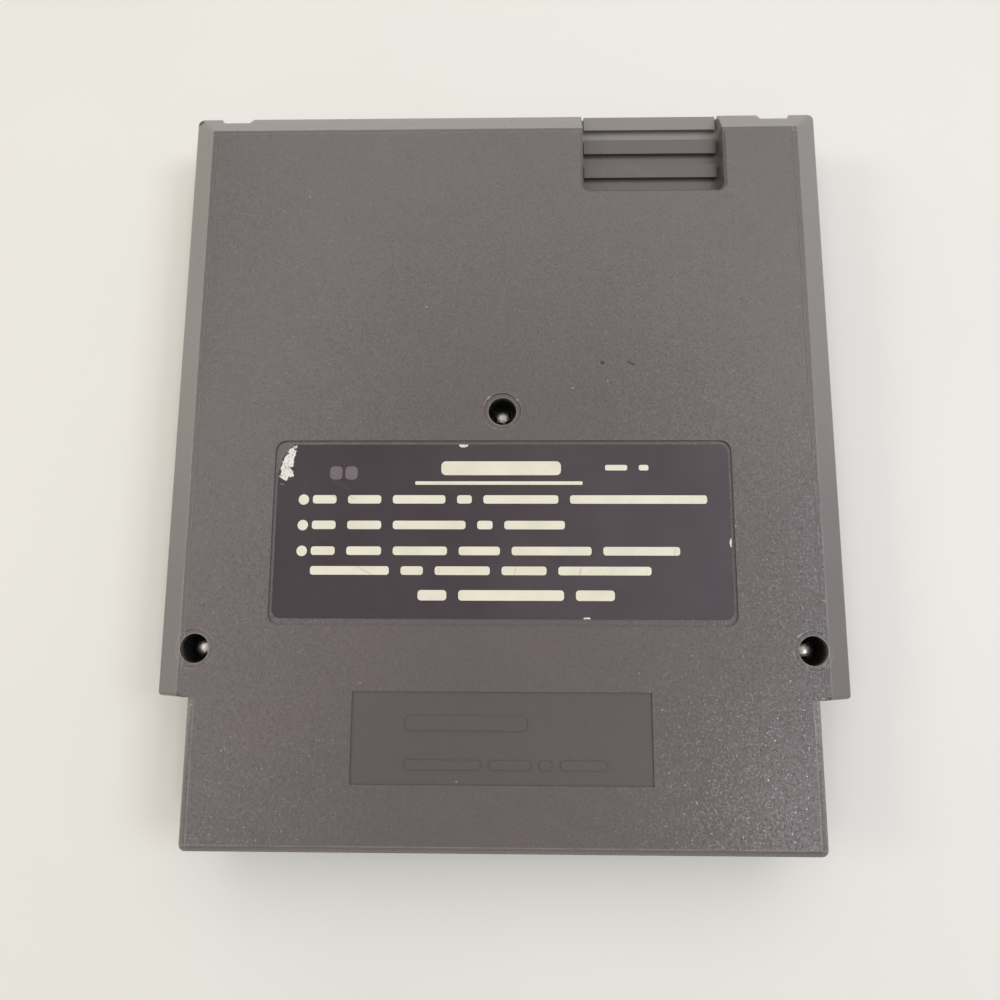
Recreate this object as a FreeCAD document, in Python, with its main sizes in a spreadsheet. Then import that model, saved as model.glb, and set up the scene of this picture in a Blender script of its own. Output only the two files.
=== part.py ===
import FreeCAD
import Part
import Sketcher
import math
import os
import re

# Game cartridge for a front-loading home console, lying on its front face with its back up.
# Millimetres. X runs across, Y from the plug end to the top end, Z up to the back face.
# The origin is under the middle of the cartridge, on the surface that it lies on.

SIZES = {
    # Case, both halves together
    "case_width": 120.0,
    "case_length": 135.0,
    "case_thickness": 17.0,
    "seam_height": 8.5,
    "shoulder_step": 6.5,
    "plug_length": 24.8,
    "panel_wall": 2.0,
    "side_wall": 2.0,
    "end_wall": 2.6,
    "plug_wall": 3.0,
    "corner_radius": 1.1,
    "seam_groove": 0.3,
    "overcut": 1.0,
    # Sloped rim round the back face
    "bevel_run": 4.3,
    "bevel_drop": 2.65,
    "land_width": 0.9,
    "land_drop": 0.35,
    "land_corner_radius": 0.6,
    "rim_radius": 0.8,
    "shoulder_radius": 0.7,
    "land_radius": 0.3,
    "face_bevel": 0.25,
    # Finger recess at the top end of the back
    "recess_offset": 15.1,
    "recess_width": 26.4,
    "recess_length": 17.1,
    "recess_depth": 4.3,
    "recess_radius": 1.2,
    "recess_lip": 0.5,
    "bar_width": 2.7,
    "bar_pitch": 5.0,
    "bar_height": 0.8,
    "bar_end_gap": 0.5,
    # Notches of the rear half and the tabs of the front half that stand in them
    "notch_inset": 8.0,
    "notch_mouth": 6.5,
    "notch_floor": 5.2,
    "notch_depth": 1.5,
    "tab_clearance": 0.15,
    "tab_height": 3.5,
    # Chipped corner of the rim
    "chip_across": 1.5,
    "chip_along": 1.1,
    "chip_depth": 2.2,
    # Screw wells, bosses and screws
    "side_screw_inset": 7.0,
    "side_screw_rise": 33.0,
    "top_screw_rise": 75.0,
    "sink_bore": 6.7,
    "sink_depth": 0.3,
    "well_bore": 5.0,
    "well_wall": 1.5,
    "well_depth": 7.0,
    "well_floor": 1.5,
    "screw_clearance": 0.4,
    "boss_size": 7.0,
    "boss_clearance": 1.5,
    "pilot_clearance": 0.05,
    "pilot_spare": 1.5,
    "shank_size": 2.4,
    "shank_length": 6.0,
    "head_height": 2.7,
    "head_size": 3.6,
    # Sunk fields of the back and the sticker
    "field_width": 81.0,
    "field_height": 32.6,
    "field_rise": 37.0,
    "field_depth": 0.4,
    "field_radius": 2.0,
    "label_side_margin": 0.6,
    "label_bottom_margin": 1.2,
    "label_top_margin": 0.7,
    "label_thickness": 0.15,
    "label_radius": 1.5,
    "tear_across": 2.6,
    "tear_along": 5.4,
    "tear_bite": 0.5,
    "plate_width": 50.8,
    "plate_height": 15.2,
    "plate_rise": 10.8,
    "plate_depth": 0.3,
    # Front face
    "front_radius": 0.8,
    "front_field_inset": 9.0,
    "front_field_rise": 8.2,
    "front_field_depth": 0.3,
    "grip_inset": 6.0,
    "grip_width": 31.0,
    "grip_gap": 4.0,
    "grip_top": 3.0,
    "grip_bottom": 8.0,
    "groove_width": 2.2,
    "groove_pitch": 5.0,
    "groove_depth": 0.8,
    # Circuit board and what holds it
    "board_thickness": 1.2,
    "board_setback": 5.0,
    "board_clearance": 2.0,
    "board_top_margin": 5.0,
    "tongue_step": 2.5,
    "tongue_length": 17.0,
    "tongue_margin": 1.4,
    "edge_bevel": 0.35,
    "post_inset": 5.0,
    "post_drop": 5.0,
    "post_size": 7.5,
    "post_pin": 4.0,
    "pin_clearance": 0.15,
    "pin_height": 1.5,
    "rest_size": 6.0,
    "rest_rise": 17.0,
    # Edge contacts
    "contact_count": 36,
    "contact_width": 1.7,
    "contact_length": 11.0,
    "contact_setback": 0.6,
    "contact_thickness": 0.05,
    # Chips
    "memory_pins": 14,
    "lockout_pins": 8,
    "lead_pitch": 2.54,
    "lead_width": 0.5,
    "lead_thickness": 0.3,
    "lead_reach": 0.9,
    "chip_end": 1.5,
    "chip_height": 3.4,
    "chip_standoff": 0.6,
    "chip_draft": 0.3,
    "chip_notch": 2.4,
    "chip_notch_depth": 0.4,
    "memory_row": 15.24,
    "lockout_row": 7.62,
    "memory_gap": 3.0,
    "lockout_offset": 25.0,
    "lockout_gap": 8.6,
    "row_gap": 5.4,
    # Small parts on the board
    "can_size": 5.0,
    "can_length": 11.0,
    "can_offset": 8.0,
    "wire_size": 0.6,
    "wire_spread": 2.5,
    "wire_reach": 1.6,
    "resistor_size": 2.2,
    "resistor_length": 6.2,
    "resistor_offset": 30.0,
    "resistor_pitch": 4.5,
    "block_width": 4.6,
    "block_height": 3.6,
    "block_depth": 2.4,
    "block_lift": 0.5,
    "block_offset": 19.5,
    "block_gap": 4.0,
    # Solder under the board
    "solder_width": 1.2,
    "solder_height": 1.0,
}

# Heights and edges worked out from the sizes, as formulas
HALF_CASE = "(case_width / 2)"
HALF_PLUG = "(case_width / 2 - shoulder_step)"
TOP_END = "(case_length / 2)"
PLUG_END = "(-case_length / 2)"
SHOULDER = "(plug_length - case_length / 2)"
BACK = "case_thickness"
LAND = "(case_thickness - land_drop)"
BEVEL_FOOT = "(case_thickness - land_drop - bevel_drop)"
HALF_LAND = "(case_width / 2 - bevel_run)"
LAND_END = "(case_length / 2 - bevel_run)"
HALF_FACE = "(case_width / 2 - bevel_run - land_width)"
FACE_END = "(case_length / 2 - bevel_run - land_width)"
CEILING = "(case_thickness - panel_wall)"
RECESS_FLOOR = "(case_thickness - recess_depth)"
RECESS_RIGHT = "(recess_offset + recess_width)"
RECESS_END = "(case_length / 2 - recess_length)"
WELL_FLOOR = "(case_thickness - well_depth)"
WELL_BOTTOM = "(case_thickness - well_depth - well_floor)"
WELL_SIZE = "(well_bore + 2 * well_wall)"
PILOT_BORE = "(shank_size + 2 * pilot_clearance)"
FRONT_FIELD_LEFT = "(front_field_inset - case_width / 2)"
FRONT_FIELD_RIGHT = "(case_width / 2 - grip_inset - grip_width - grip_gap)"
SIDE_SCREW = "(case_width / 2 - side_screw_inset)"
FIELD_FLOOR = "(case_thickness - field_depth)"
BOARD_UNDER = "(seam_height - board_thickness / 2)"
BOARD_TOP = "(seam_height + board_thickness / 2)"
BOARD_EDGE = "(board_setback - case_length / 2)"
HALF_BOARD = f"({HALF_PLUG} - plug_wall - board_clearance)"
HALF_TONGUE = f"({HALF_BOARD} - tongue_step)"
CONTACT_START = f"({BOARD_EDGE} + contact_setback)"
CONTACT_SPAN = f"(2 * {HALF_TONGUE} - 2 * tongue_margin - contact_width)"
MEMORY_LENGTH = "((memory_pins - 1) * lead_pitch + 2 * chip_end)"
LOCKOUT_LENGTH = "((lockout_pins - 1) * lead_pitch + 2 * chip_end)"
LOCKOUT_ROW_MIDDLE = f"({CONTACT_START} + contact_length + lockout_gap + lockout_row / 2)"
MEMORY_ROW_MIDDLE = f"({LOCKOUT_ROW_MIDDLE} + lockout_row / 2 + row_gap + memory_row / 2)"
BLOCK_ROW_MIDDLE = f"({MEMORY_ROW_MIDDLE} + memory_row / 2 + block_gap)"
BOARD_END = f"({BLOCK_ROW_MIDDLE} + board_top_margin)"
MEMORY_MIDDLE = f"(({MEMORY_LENGTH} + memory_gap) / 2)"
POST_ACROSS = f"({HALF_BOARD} - post_inset)"
POST_ALONG = f"({BOARD_END} - post_drop)"
REST_ALONG = f"({BOARD_EDGE} + rest_rise)"
SCREWS = (
    ("0", "(top_screw_rise - case_length / 2)"),
    (SIDE_SCREW, "(side_screw_rise - case_length / 2)"),
    (f"-{SIDE_SCREW}", "(side_screw_rise - case_length / 2)"),
)

doc = FreeCAD.newDocument("game_cartridge")
sheet = doc.addObject("Spreadsheet::Sheet", "Sizes")
for line, (size_name, size_value) in enumerate(SIZES.items(), start=1):
    sheet.set(f"A{line}", size_name.replace("_", " "))
    sheet.set(f"B{line}", str(size_value))
    sheet.setAlias(f"B{line}", size_name)
doc.recompute()

subparts = []


def formula(words):
    """The words with each size name pointed at its cell of the sheet."""
    def point(found):
        return f"Sizes.{found.group()}" if found.group() in SIZES else found.group()
    return re.sub(r"[a-z_]+", point, words)


def measure(words):
    """The present value of a formula."""
    return float(sheet.evalExpression(formula(words)))


def bind(thing, path, words):
    """Tie a property to a formula of the sizes."""
    thing.setExpression(path, formula(words))


def new_body(label):
    """An empty body that becomes one sub-part."""
    body = doc.addObject("PartDesign::Body", label)
    body.Label = label
    return body


def place(thing, across, along, height):
    """Put a finished body where its formulas say."""
    bind(thing, "Placement.Base.x", across)
    bind(thing, "Placement.Base.y", along)
    bind(thing, "Placement.Base.z", height)


def origin_plane(body, role):
    """One of the body's own origin planes or axes."""
    return next(item for item in body.Origin.OriginFeatures if item.Role == role)


def new_sketch(body, name, height="0", role="XY_Plane"):
    """A sketch on an origin plane of the body, moved along the plane's normal."""
    sketch = body.newObject("Sketcher::SketchObject", name)
    sketch.AttachmentSupport = [(origin_plane(body, role), "")]
    sketch.MapMode = "FlatFace"
    bind(sketch, "AttachmentOffset.Base.z", height)
    return sketch


def hold(sketch, geometry, point, across, along):
    """Tie a point of a sketch to the sketch's origin by two formulas."""
    for kind, words, axis in (("DistanceX", across, -2), ("DistanceY", along, -1)):
        if words == "0":
            sketch.addConstraint(Sketcher.Constraint("PointOnObject", geometry, point, axis))
            continue
        distance = Sketcher.Constraint(kind, -1, 1, geometry, point, measure(words))
        row = sketch.addConstraint(distance)
        bind(sketch, f"Constraints[{row}]", words)


def circle(sketch, across, along, diameter):
    """A full circle with its middle and diameter tied."""
    middle = FreeCAD.Vector(measure(across), measure(along), 0)
    ring = Part.Circle(middle, FreeCAD.Vector(0, 0, 1), measure(diameter) / 2)
    geometry = sketch.addGeometry(ring)
    hold(sketch, geometry, 3, across, along)
    row = sketch.addConstraint(Sketcher.Constraint("Diameter", geometry, measure(diameter)))
    bind(sketch, f"Constraints[{row}]", diameter)


def octagon(sketch, across, along, width):
    """An eight-sided outline with its middle and its width across flats tied."""
    side = f"({width} / 2)"
    half = f"({width} / 2 * tan(22.5))"
    turns = [(half, f"-{side}"), (side, f"-{half}"), (side, half), (half, side),
             (f"-{half}", side), (f"-{side}", half), (f"-{side}", f"-{half}"), (f"-{half}", f"-{side}")]
    outline(sketch, [(f"({across} + {x})", f"({along} + {y})") for x, y in turns])


def outline(sketch, corners):
    """A closed outline, anticlockwise, through corners (x, y) or rounded ones (x, y, radius)."""
    points = [FreeCAD.Vector(measure(corner[0]), measure(corner[1]), 0) for corner in corners]
    total = len(corners)
    arrive = []
    leave = []
    for index, corner in enumerate(corners):
        here = points[index]
        back = (points[index - 1] - here).normalize()
        onward = (points[(index + 1) % total] - here).normalize()
        reach = measure(corner[2]) / math.tan(back.getAngle(onward) / 2) if len(corner) == 3 else 0
        arrive.append(here + back * reach)
        leave.append(here + onward * reach)
    sides = []
    for index in range(total):
        side = Part.LineSegment(leave[index], arrive[(index + 1) % total])
        sides.append(sketch.addGeometry(side))
    for index, corner in enumerate(corners):
        before = sides[index - 1]
        after = sides[index]
        if len(corner) == 2:
            sketch.addConstraint(Sketcher.Constraint("Coincident", before, 2, after, 1))
            hold(sketch, after, 1, corner[0], corner[1])
            continue
        round_corner(sketch, before, after, arrive[index], leave[index], points[index], corner)


def round_corner(sketch, before, after, start, finish, apex, corner):
    """An arc between two sides, with the corner that it rounds held as a construction point."""
    radius = measure(corner[2])
    bisector = ((start + finish) / 2 - apex).normalize()
    spread = math.hypot(radius, (start - apex).Length)
    crest = apex + bisector * (spread - radius)
    arc = sketch.addGeometry(Part.Arc(start, crest, finish))
    sketch.addConstraint(Sketcher.Constraint("Tangent", before, 2, arc, 1))
    sketch.addConstraint(Sketcher.Constraint("Tangent", arc, 2, after, 1))
    row = sketch.addConstraint(Sketcher.Constraint("Radius", arc, radius))
    bind(sketch, f"Constraints[{row}]", corner[2])
    point = sketch.addGeometry(Part.Point(apex), True)
    sketch.addConstraint(Sketcher.Constraint("PointOnObject", point, 1, before))
    sketch.addConstraint(Sketcher.Constraint("PointOnObject", point, 1, after))
    hold(sketch, point, 1, corner[0], corner[1])


def rectangle(left, bottom, right, top, lower_radius=None, upper_radius=None):
    """The four corners of a rectangle, with the lower and the upper pair rounded if a radius is given."""
    lower = (lower_radius,) if lower_radius else ()
    upper = (upper_radius,) if upper_radius else ()
    return [(left, bottom) + lower, (right, bottom) + lower, (right, top) + upper, (left, top) + upper]


def tee(half_plug, plug_end, shoulder, half_case, top_end, plug_radius=None, top_radius=None):
    """The case seen from above: a wide body with a narrower plug at its lower end."""
    lower = (plug_radius,) if plug_radius else ()
    upper = (top_radius,) if top_radius else ()
    return [
        (f"-{half_plug}", plug_end) + lower,
        (half_plug, plug_end) + lower,
        (half_plug, shoulder),
        (half_case, shoulder),
        (half_case, top_end) + upper,
        (f"-{half_case}", top_end) + upper,
        (f"-{half_case}", shoulder),
        (f"-{half_plug}", shoulder),
    ]


def settle(body, feature):
    """Make a feature the body's last one and stop at once if it failed."""
    body.Tip = feature
    doc.recompute()
    if "Invalid" in feature.State or "Error" in feature.State:
        raise RuntimeError(f"{feature.Name} failed: {feature.getStatusString()}")
    return feature


def pad(body, name, sketch, length, down=False):
    """Material added from a sketch, up or down."""
    feature = body.newObject("PartDesign::Pad", name)
    feature.Profile = sketch
    feature.Reversed = down
    bind(feature, "Length", length)
    return settle(body, feature)


def pocket(body, name, sketch, depth, up=False):
    """Material cut away from a sketch, down or up."""
    before = body.Shape.Volume
    feature = body.newObject("PartDesign::Pocket", name)
    feature.Profile = sketch
    feature.Reversed = up
    bind(feature, "Length", depth)
    settle(body, feature)
    if body.Shape.Volume > before:
        raise RuntimeError(f"{name} added material")
    return feature


def loft(body, name, kind, lower, upper):
    """Straight sides between two sketches, added or cut away."""
    feature = body.newObject(f"PartDesign::{kind}", name)
    feature.Profile = lower
    feature.Sections = [upper]
    feature.Ruled = True
    return settle(body, feature)


def turn(body, name, sketch, axis):
    """A full turn of a sketch round an axis of the sketch."""
    feature = body.newObject("PartDesign::Revolution", name)
    feature.Profile = sketch
    feature.ReferenceAxis = (sketch, [axis])
    feature.Angle = 360
    return settle(body, feature)


def fillet(body, name, radius, chosen):
    """Round the edges of the body's last feature that a test picks."""
    base = body.Tip
    rows = [f"Edge{row}" for row, edge in enumerate(base.Shape.Edges, 1) if chosen(edge)]
    feature = body.newObject("PartDesign::Fillet", name)
    feature.Base = (base, rows)
    bind(feature, "Radius", radius)
    return settle(body, feature)


def chamfer(body, name, size, chosen):
    """Bevel the edges of the body's last feature that a test picks."""
    base = body.Tip
    rows = [f"Edge{row}" for row, edge in enumerate(base.Shape.Edges, 1) if chosen(edge)]
    feature = body.newObject("PartDesign::Chamfer", name)
    feature.Base = (base, rows)
    bind(feature, "Size", size)
    return settle(body, feature)


def repeat(body, name, feature, axis, span, count, backwards=False):
    """A row of copies of a feature along an origin axis."""
    row = body.newObject("PartDesign::LinearPattern", name)
    row.Originals = [feature]
    row.Direction = (origin_plane(body, axis), [""])
    row.Reversed = backwards
    bind(row, "Length", span)
    bind(row, "Occurrences", count)
    return settle(body, row)


def level(edge, height):
    """Whether an edge lies flat at a height."""
    box = edge.BoundBox
    return abs(box.ZMin - measure(height)) < 1e-4 and abs(box.ZMax - measure(height)) < 1e-4


def finish(thing):
    """Count a finished body as a sub-part."""
    subparts.append(thing)
    return thing


def rear_shell():
    """The back half of the case."""
    body = new_body("rear_shell")
    rear_outside(body)
    rear_cavity(body)
    rear_finger_recess(body)
    rear_screw_wells(body)
    rear_board_clamps(body)
    rear_sunk_fields(body)
    rear_notches(body)
    return finish(body)


def rear_outside(body):
    """Walls, sloped rim, land and raised main face."""
    walls = new_sketch(body, "rear_walls_outline", "seam_height")
    outline(walls, tee(HALF_PLUG, PLUG_END, SHOULDER, HALF_CASE, TOP_END, "corner_radius", "corner_radius"))
    pad(body, "rear_walls", walls, f"{BEVEL_FOOT} - seam_height")
    foot = new_sketch(body, "bevel_foot_outline", BEVEL_FOOT)
    outline(foot, rectangle(f"-{HALF_CASE}", SHOULDER, HALF_CASE, TOP_END, None, "corner_radius"))
    land = new_sketch(body, "land_outline", LAND)
    outline(land, rectangle(f"-{HALF_LAND}", SHOULDER, HALF_LAND, LAND_END, None, "land_corner_radius"))
    loft(body, "sloped_rim", "AdditiveLoft", foot, land)
    fillet(body, "rim_rounding", "rim_radius", lambda edge: level(edge, BEVEL_FOOT) and off_shoulder(edge))
    fillet(body, "land_rounding", "land_radius", lambda edge: level(edge, LAND) and off_shoulder(edge))
    fillet(body, "shoulder_rounding", "shoulder_radius", on_shoulder_corner)
    face = new_sketch(body, "main_face_outline", BEVEL_FOOT)
    outline(face, tee(HALF_PLUG, PLUG_END, SHOULDER, HALF_FACE, FACE_END, "corner_radius"))
    pad(body, "main_face", face, f"{BACK} - {BEVEL_FOOT}")
    chamfer(body, "main_face_bevel", "face_bevel", lambda edge: level(edge, BACK))


def off_shoulder(edge):
    """Whether an edge runs away from the shoulder, along a side or the top end."""
    return edge.BoundBox.YMax - measure(SHOULDER) > 1e-3


def on_shoulder_corner(edge):
    """Whether an edge stands at an outer corner of the shoulder."""
    box = edge.BoundBox
    at_shoulder = abs(box.YMax - measure(SHOULDER)) < 1e-4
    at_side = abs(box.XLength) < 1e-4 and abs(abs(box.XMax) - measure(HALF_CASE)) < 1e-4
    return at_shoulder and at_side


def rear_cavity(body):
    """The hollow of the back half, open at the plug end, which follows the sloped rim."""
    slope = "sqrt(bevel_run ^ 2 + bevel_drop ^ 2)"
    side_foot = f"({BEVEL_FOOT} - (side_wall * {slope} - side_wall * bevel_drop) / bevel_run)"
    end_foot = f"({BEVEL_FOOT} - (side_wall * {slope} - end_wall * bevel_drop) / bevel_run)"
    foot = f"min({side_foot}; {end_foot})"
    drawn_in = f"(({CEILING} - {foot}) * bevel_run / bevel_drop)"
    half_hollow = f"({HALF_CASE} - side_wall)"
    hollow_end = f"({TOP_END} - end_wall)"
    hollow_start = f"({SHOULDER} + side_wall)"
    low = new_sketch(body, "rear_hollow_outline", "seam_height")
    outline(low, rectangle(f"-{half_hollow}", hollow_start, half_hollow, hollow_end))
    pocket(body, "rear_hollow", low, f"{foot} - seam_height", up=True)
    wide = new_sketch(body, "rear_hollow_foot", foot)
    outline(wide, rectangle(f"-{half_hollow}", hollow_start, half_hollow, hollow_end))
    narrow = new_sketch(body, "rear_hollow_ceiling", CEILING)
    outline(narrow, rectangle(f"-({half_hollow} - {drawn_in})", hollow_start,
                              f"({half_hollow} - {drawn_in})", f"({hollow_end} - {drawn_in})"))
    loft(body, "rear_sloped_hollow", "SubtractiveLoft", wide, narrow)
    mouth_hollow(body, "rear_mouth", f"{CEILING} - seam_height", True)


def mouth_hollow(body, name, depth, up):
    """The slot at the plug end that lets the console's connector in."""
    half_mouth = f"({HALF_PLUG} - plug_wall)"
    slot = new_sketch(body, f"{name}_outline", "seam_height")
    outline(slot, rectangle(f"-{half_mouth}", f"({PLUG_END} - overcut)", half_mouth,
                            f"({SHOULDER} + side_wall + overcut)"))
    pocket(body, name, slot, depth, up=up)


def rear_finger_recess(body):
    """A box let into the back at the top end, with a bevelled lip and three grip bars."""
    box = new_sketch(body, "recess_box_outline", f"({RECESS_FLOOR} - panel_wall)")
    outline(box, rectangle("(recess_offset - side_wall)", f"({RECESS_END} - side_wall)",
                           f"({RECESS_RIGHT} + side_wall)", f"({TOP_END} - 0.75 * end_wall)"))
    pad(body, "recess_box", box, "recess_depth")
    past_end = f"({TOP_END} + overcut)"
    hollow = new_sketch(body, "recess_outline", BACK)
    outline(hollow, recess_corners("0", past_end))
    pocket(body, "recess", hollow, "recess_depth")
    lip_foot = new_sketch(body, "recess_lip_foot", f"({BACK} - recess_lip)")
    outline(lip_foot, recess_corners("0", past_end))
    lip_top = new_sketch(body, "recess_lip_top", BACK)
    outline(lip_top, recess_corners("recess_lip", past_end))
    loft(body, "recess_bevel", "SubtractiveLoft", lip_foot, lip_top)
    bar = new_sketch(body, "grip_bar_outline", RECESS_FLOOR)
    outline(bar, rectangle("(recess_offset + bar_end_gap)", f"({TOP_END} - bar_width)",
                           f"({RECESS_RIGHT} - bar_end_gap)", TOP_END))
    first = pad(body, "grip_bar", bar, "bar_height")
    count = "(floor((recess_length - bar_width) / bar_pitch) + 1)"
    repeat(body, "grip_bars", first, "Y_Axis", f"({count} - 1) * bar_pitch", count, backwards=True)


def recess_corners(outset, past_end):
    """The recess seen from above, open past the top end, grown by an outset."""
    left = f"(recess_offset - {outset})"
    right = f"({RECESS_RIGHT} + {outset})"
    bottom = f"({RECESS_END} - {outset})"
    radius = f"(recess_radius + {outset})"
    return [(left, bottom, radius), (right, bottom, radius), (right, past_end), (left, past_end)]


def at_screws(body, name, height, draw, width):
    """One circle or octagon round each of the three screw axes."""
    sketch = new_sketch(body, name, height)
    for across, along in SCREWS:
        draw(sketch, across, along, width)
    return sketch


def rear_screw_wells(body):
    """Tubes that hang from the back panel, with a sunk ring, a well for the head and a hole."""
    tubes = at_screws(body, "well_tubes_outline", WELL_BOTTOM, octagon, WELL_SIZE)
    pad(body, "well_tubes", tubes, f"{CEILING} - {WELL_BOTTOM}")
    rings = at_screws(body, "sunk_rings_outline", BACK, circle, "sink_bore")
    pocket(body, "sunk_rings", rings, "sink_depth")
    wells = at_screws(body, "wells_outline", BACK, circle, "well_bore")
    pocket(body, "wells", wells, "well_depth")
    holes = at_screws(body, "screw_holes_outline", WELL_FLOOR, circle, "(shank_size + 2 * screw_clearance)")
    pocket(body, "screw_holes", holes, "(well_floor + overcut)")


def at_posts(body, name, height, draw, post_width, rest_width=None):
    """Circles or octagons at the two locating posts of the board, and at its two plain rests."""
    sketch = new_sketch(body, name, height)
    for across in (POST_ACROSS, f"-{POST_ACROSS}"):
        draw(sketch, across, POST_ALONG, post_width)
        if rest_width:
            draw(sketch, across, REST_ALONG, rest_width)
    return sketch


def rear_board_clamps(body):
    """Posts that come down from the back panel and press the board on the front half's posts."""
    clamps = at_posts(body, "board_clamps_outline", BOARD_TOP, octagon, "post_size", "rest_size")
    pad(body, "board_clamps", clamps, f"{CEILING} - {BOARD_TOP}")
    bore = "(post_pin + 2 * pin_clearance)"
    sockets = at_posts(body, "pin_sockets_outline", BOARD_TOP, octagon, bore)
    pocket(body, "pin_sockets", sockets, "(pin_height + pin_clearance)", up=True)


def rear_sunk_fields(body):
    """The shallow field that takes the sticker and the plain sunk plate by the plug."""
    bottom = f"({PLUG_END} + field_rise)"
    field = new_sketch(body, "label_field_outline", BACK)
    outline(field, rectangle("-(field_width / 2)", bottom, "(field_width / 2)",
                             f"({bottom} + field_height)", "field_radius", "field_radius"))
    pocket(body, "label_field", field, "field_depth")
    bottom = f"({PLUG_END} + plate_rise)"
    plate = new_sketch(body, "sunk_plate_outline", BACK)
    outline(plate, rectangle("-(plate_width / 2)", bottom, "(plate_width / 2)",
                             f"({bottom} + plate_height)"))
    pocket(body, "sunk_plate", plate, "plate_depth")


def notch_corners(side, gap, outer):
    """A trapezoid at the top end, narrower inside, with a gap all round for the tab."""
    middle = f"({side} * ({HALF_CASE} - notch_inset))"
    inner = f"({TOP_END} - notch_depth + {gap})"
    slope = "((notch_mouth - notch_floor) / 2 / notch_depth)"
    at_floor = f"(notch_floor / 2 - {gap} + {slope} * {gap})"
    at_mouth = f"({at_floor} + {slope} * ({outer} - {inner}))"
    return [(f"({middle} - {at_floor})", inner), (f"({middle} + {at_floor})", inner),
            (f"({middle} + {at_mouth})", outer), (f"({middle} - {at_mouth})", outer)]


def rear_notches(body):
    """Two notches in the top end for the front half's tabs, and one chipped corner."""
    notches = new_sketch(body, "notches_outline", BACK)
    for side in ("1", "-1"):
        outline(notches, notch_corners(side, "0", f"({TOP_END} + overcut)"))
    pocket(body, "notches", notches, f"{BACK} - seam_height")
    corner = new_sketch(body, "chipped_corner_outline", BACK)
    outline(corner, [
        (f"(-{HALF_CASE} - overcut)", f"({TOP_END} - chip_along)"),
        (f"-{HALF_CASE}", f"({TOP_END} - chip_along)"),
        (f"(chip_across - {HALF_CASE})", TOP_END),
        (f"(chip_across - {HALF_CASE})", f"({TOP_END} + overcut)"),
        (f"(-{HALF_CASE} - overcut)", f"({TOP_END} + overcut)"),
    ])
    pocket(body, "chipped_corner", corner, "(land_drop + bevel_drop + chip_depth)")


def front_shell():
    """The front half of the case, which lies on the table."""
    body = new_body("front_shell")
    walls = new_sketch(body, "front_walls_outline")
    outline(walls, tee(HALF_PLUG, PLUG_END, SHOULDER, HALF_CASE, TOP_END, "corner_radius", "corner_radius"))
    pad(body, "front_walls", walls, "seam_height - seam_groove")
    inner_radius = "(corner_radius - seam_groove)"
    step = new_sketch(body, "seam_step_outline", "(seam_height - seam_groove)")
    outline(step, tee(f"({HALF_PLUG} - seam_groove)", f"({PLUG_END} + seam_groove)",
                      f"({SHOULDER} + seam_groove)", f"({HALF_CASE} - seam_groove)",
                      f"({TOP_END} - seam_groove)", inner_radius, inner_radius))
    pad(body, "seam_step", step, "seam_groove")
    front_field(body)
    fillet(body, "front_rounding", "front_radius", on_front_edge)
    hollow = new_sketch(body, "front_hollow_outline", "seam_height")
    outline(hollow, rectangle(f"-({HALF_CASE} - side_wall)", f"({SHOULDER} + side_wall)",
                              f"({HALF_CASE} - side_wall)", f"({TOP_END} - end_wall)"))
    pocket(body, "front_hollow", hollow, "seam_height - panel_wall")
    mouth_hollow(body, "front_mouth", "seam_height - panel_wall", False)
    front_grip(body)
    front_bosses(body)
    front_tabs(body)
    return finish(body)


def front_field(body):
    """The bare shallow field of the front, which runs over the top end."""
    bottom = f"({SHOULDER} + front_field_rise)"
    past_end = f"({TOP_END} + overcut)"
    face = new_sketch(body, "front_field_outline")
    outline(face, rectangle(FRONT_FIELD_LEFT, bottom, FRONT_FIELD_RIGHT, past_end))
    pocket(body, "front_field", face, "front_field_depth", up=True)
    end = new_sketch(body, "front_field_end_outline")
    outline(end, rectangle(FRONT_FIELD_LEFT, f"({TOP_END} - front_field_depth)", FRONT_FIELD_RIGHT, past_end))
    pocket(body, "front_field_end", end, "seam_height", up=True)


def on_front_edge(edge):
    """Whether an edge bounds the front face from outside, the sunk field's top edge included."""
    box = edge.BoundBox
    if level(edge, "front_field_depth"):
        return abs(box.YMin - measure(f"{TOP_END} - front_field_depth")) < 1e-4
    right_of_left = box.XMin > measure(FRONT_FIELD_LEFT) - 1e-4
    left_of_right = box.XMax < measure(FRONT_FIELD_RIGHT) + 1e-4
    above_bottom = box.YMin > measure(f"{SHOULDER} + front_field_rise") - 1e-4
    round_field = right_of_left and left_of_right and above_bottom
    return level(edge, "0") and not round_field


def front_grip(body):
    """A ladder of grooves across one side of the front."""
    right = f"({HALF_CASE} - grip_inset)"
    top = f"({TOP_END} - grip_top)"
    groove = new_sketch(body, "groove_outline")
    outline(groove, rectangle(f"({right} - grip_width)", f"({top} - groove_width)", right, top))
    first = pocket(body, "groove", groove, "groove_depth", up=True)
    room = "(case_length - plug_length - grip_top - grip_bottom - groove_width)"
    count = f"(floor({room} / groove_pitch) + 1)"
    repeat(body, "grooves", first, "Y_Axis", f"({count} - 1) * groove_pitch", count, backwards=True)


def front_bosses(body):
    """Bosses for the screws, and the posts and rests that carry the board."""
    bosses = at_screws(body, "bosses_outline", "panel_wall", octagon, "boss_size")
    pad(body, "bosses", bosses, f"{WELL_BOTTOM} - panel_wall")
    pilots = at_screws(body, "pilots_outline", WELL_BOTTOM, octagon, PILOT_BORE)
    pocket(body, "pilots", pilots, "(shank_length - well_floor + pilot_spare)")
    posts = at_posts(body, "posts_outline", "panel_wall", octagon, "post_size", "rest_size")
    pad(body, "posts", posts, f"{BOARD_UNDER} - panel_wall")
    pins = at_posts(body, "pins_outline", BOARD_UNDER, octagon, "post_pin")
    pad(body, "pins", pins, "(board_thickness + pin_height)")


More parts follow.
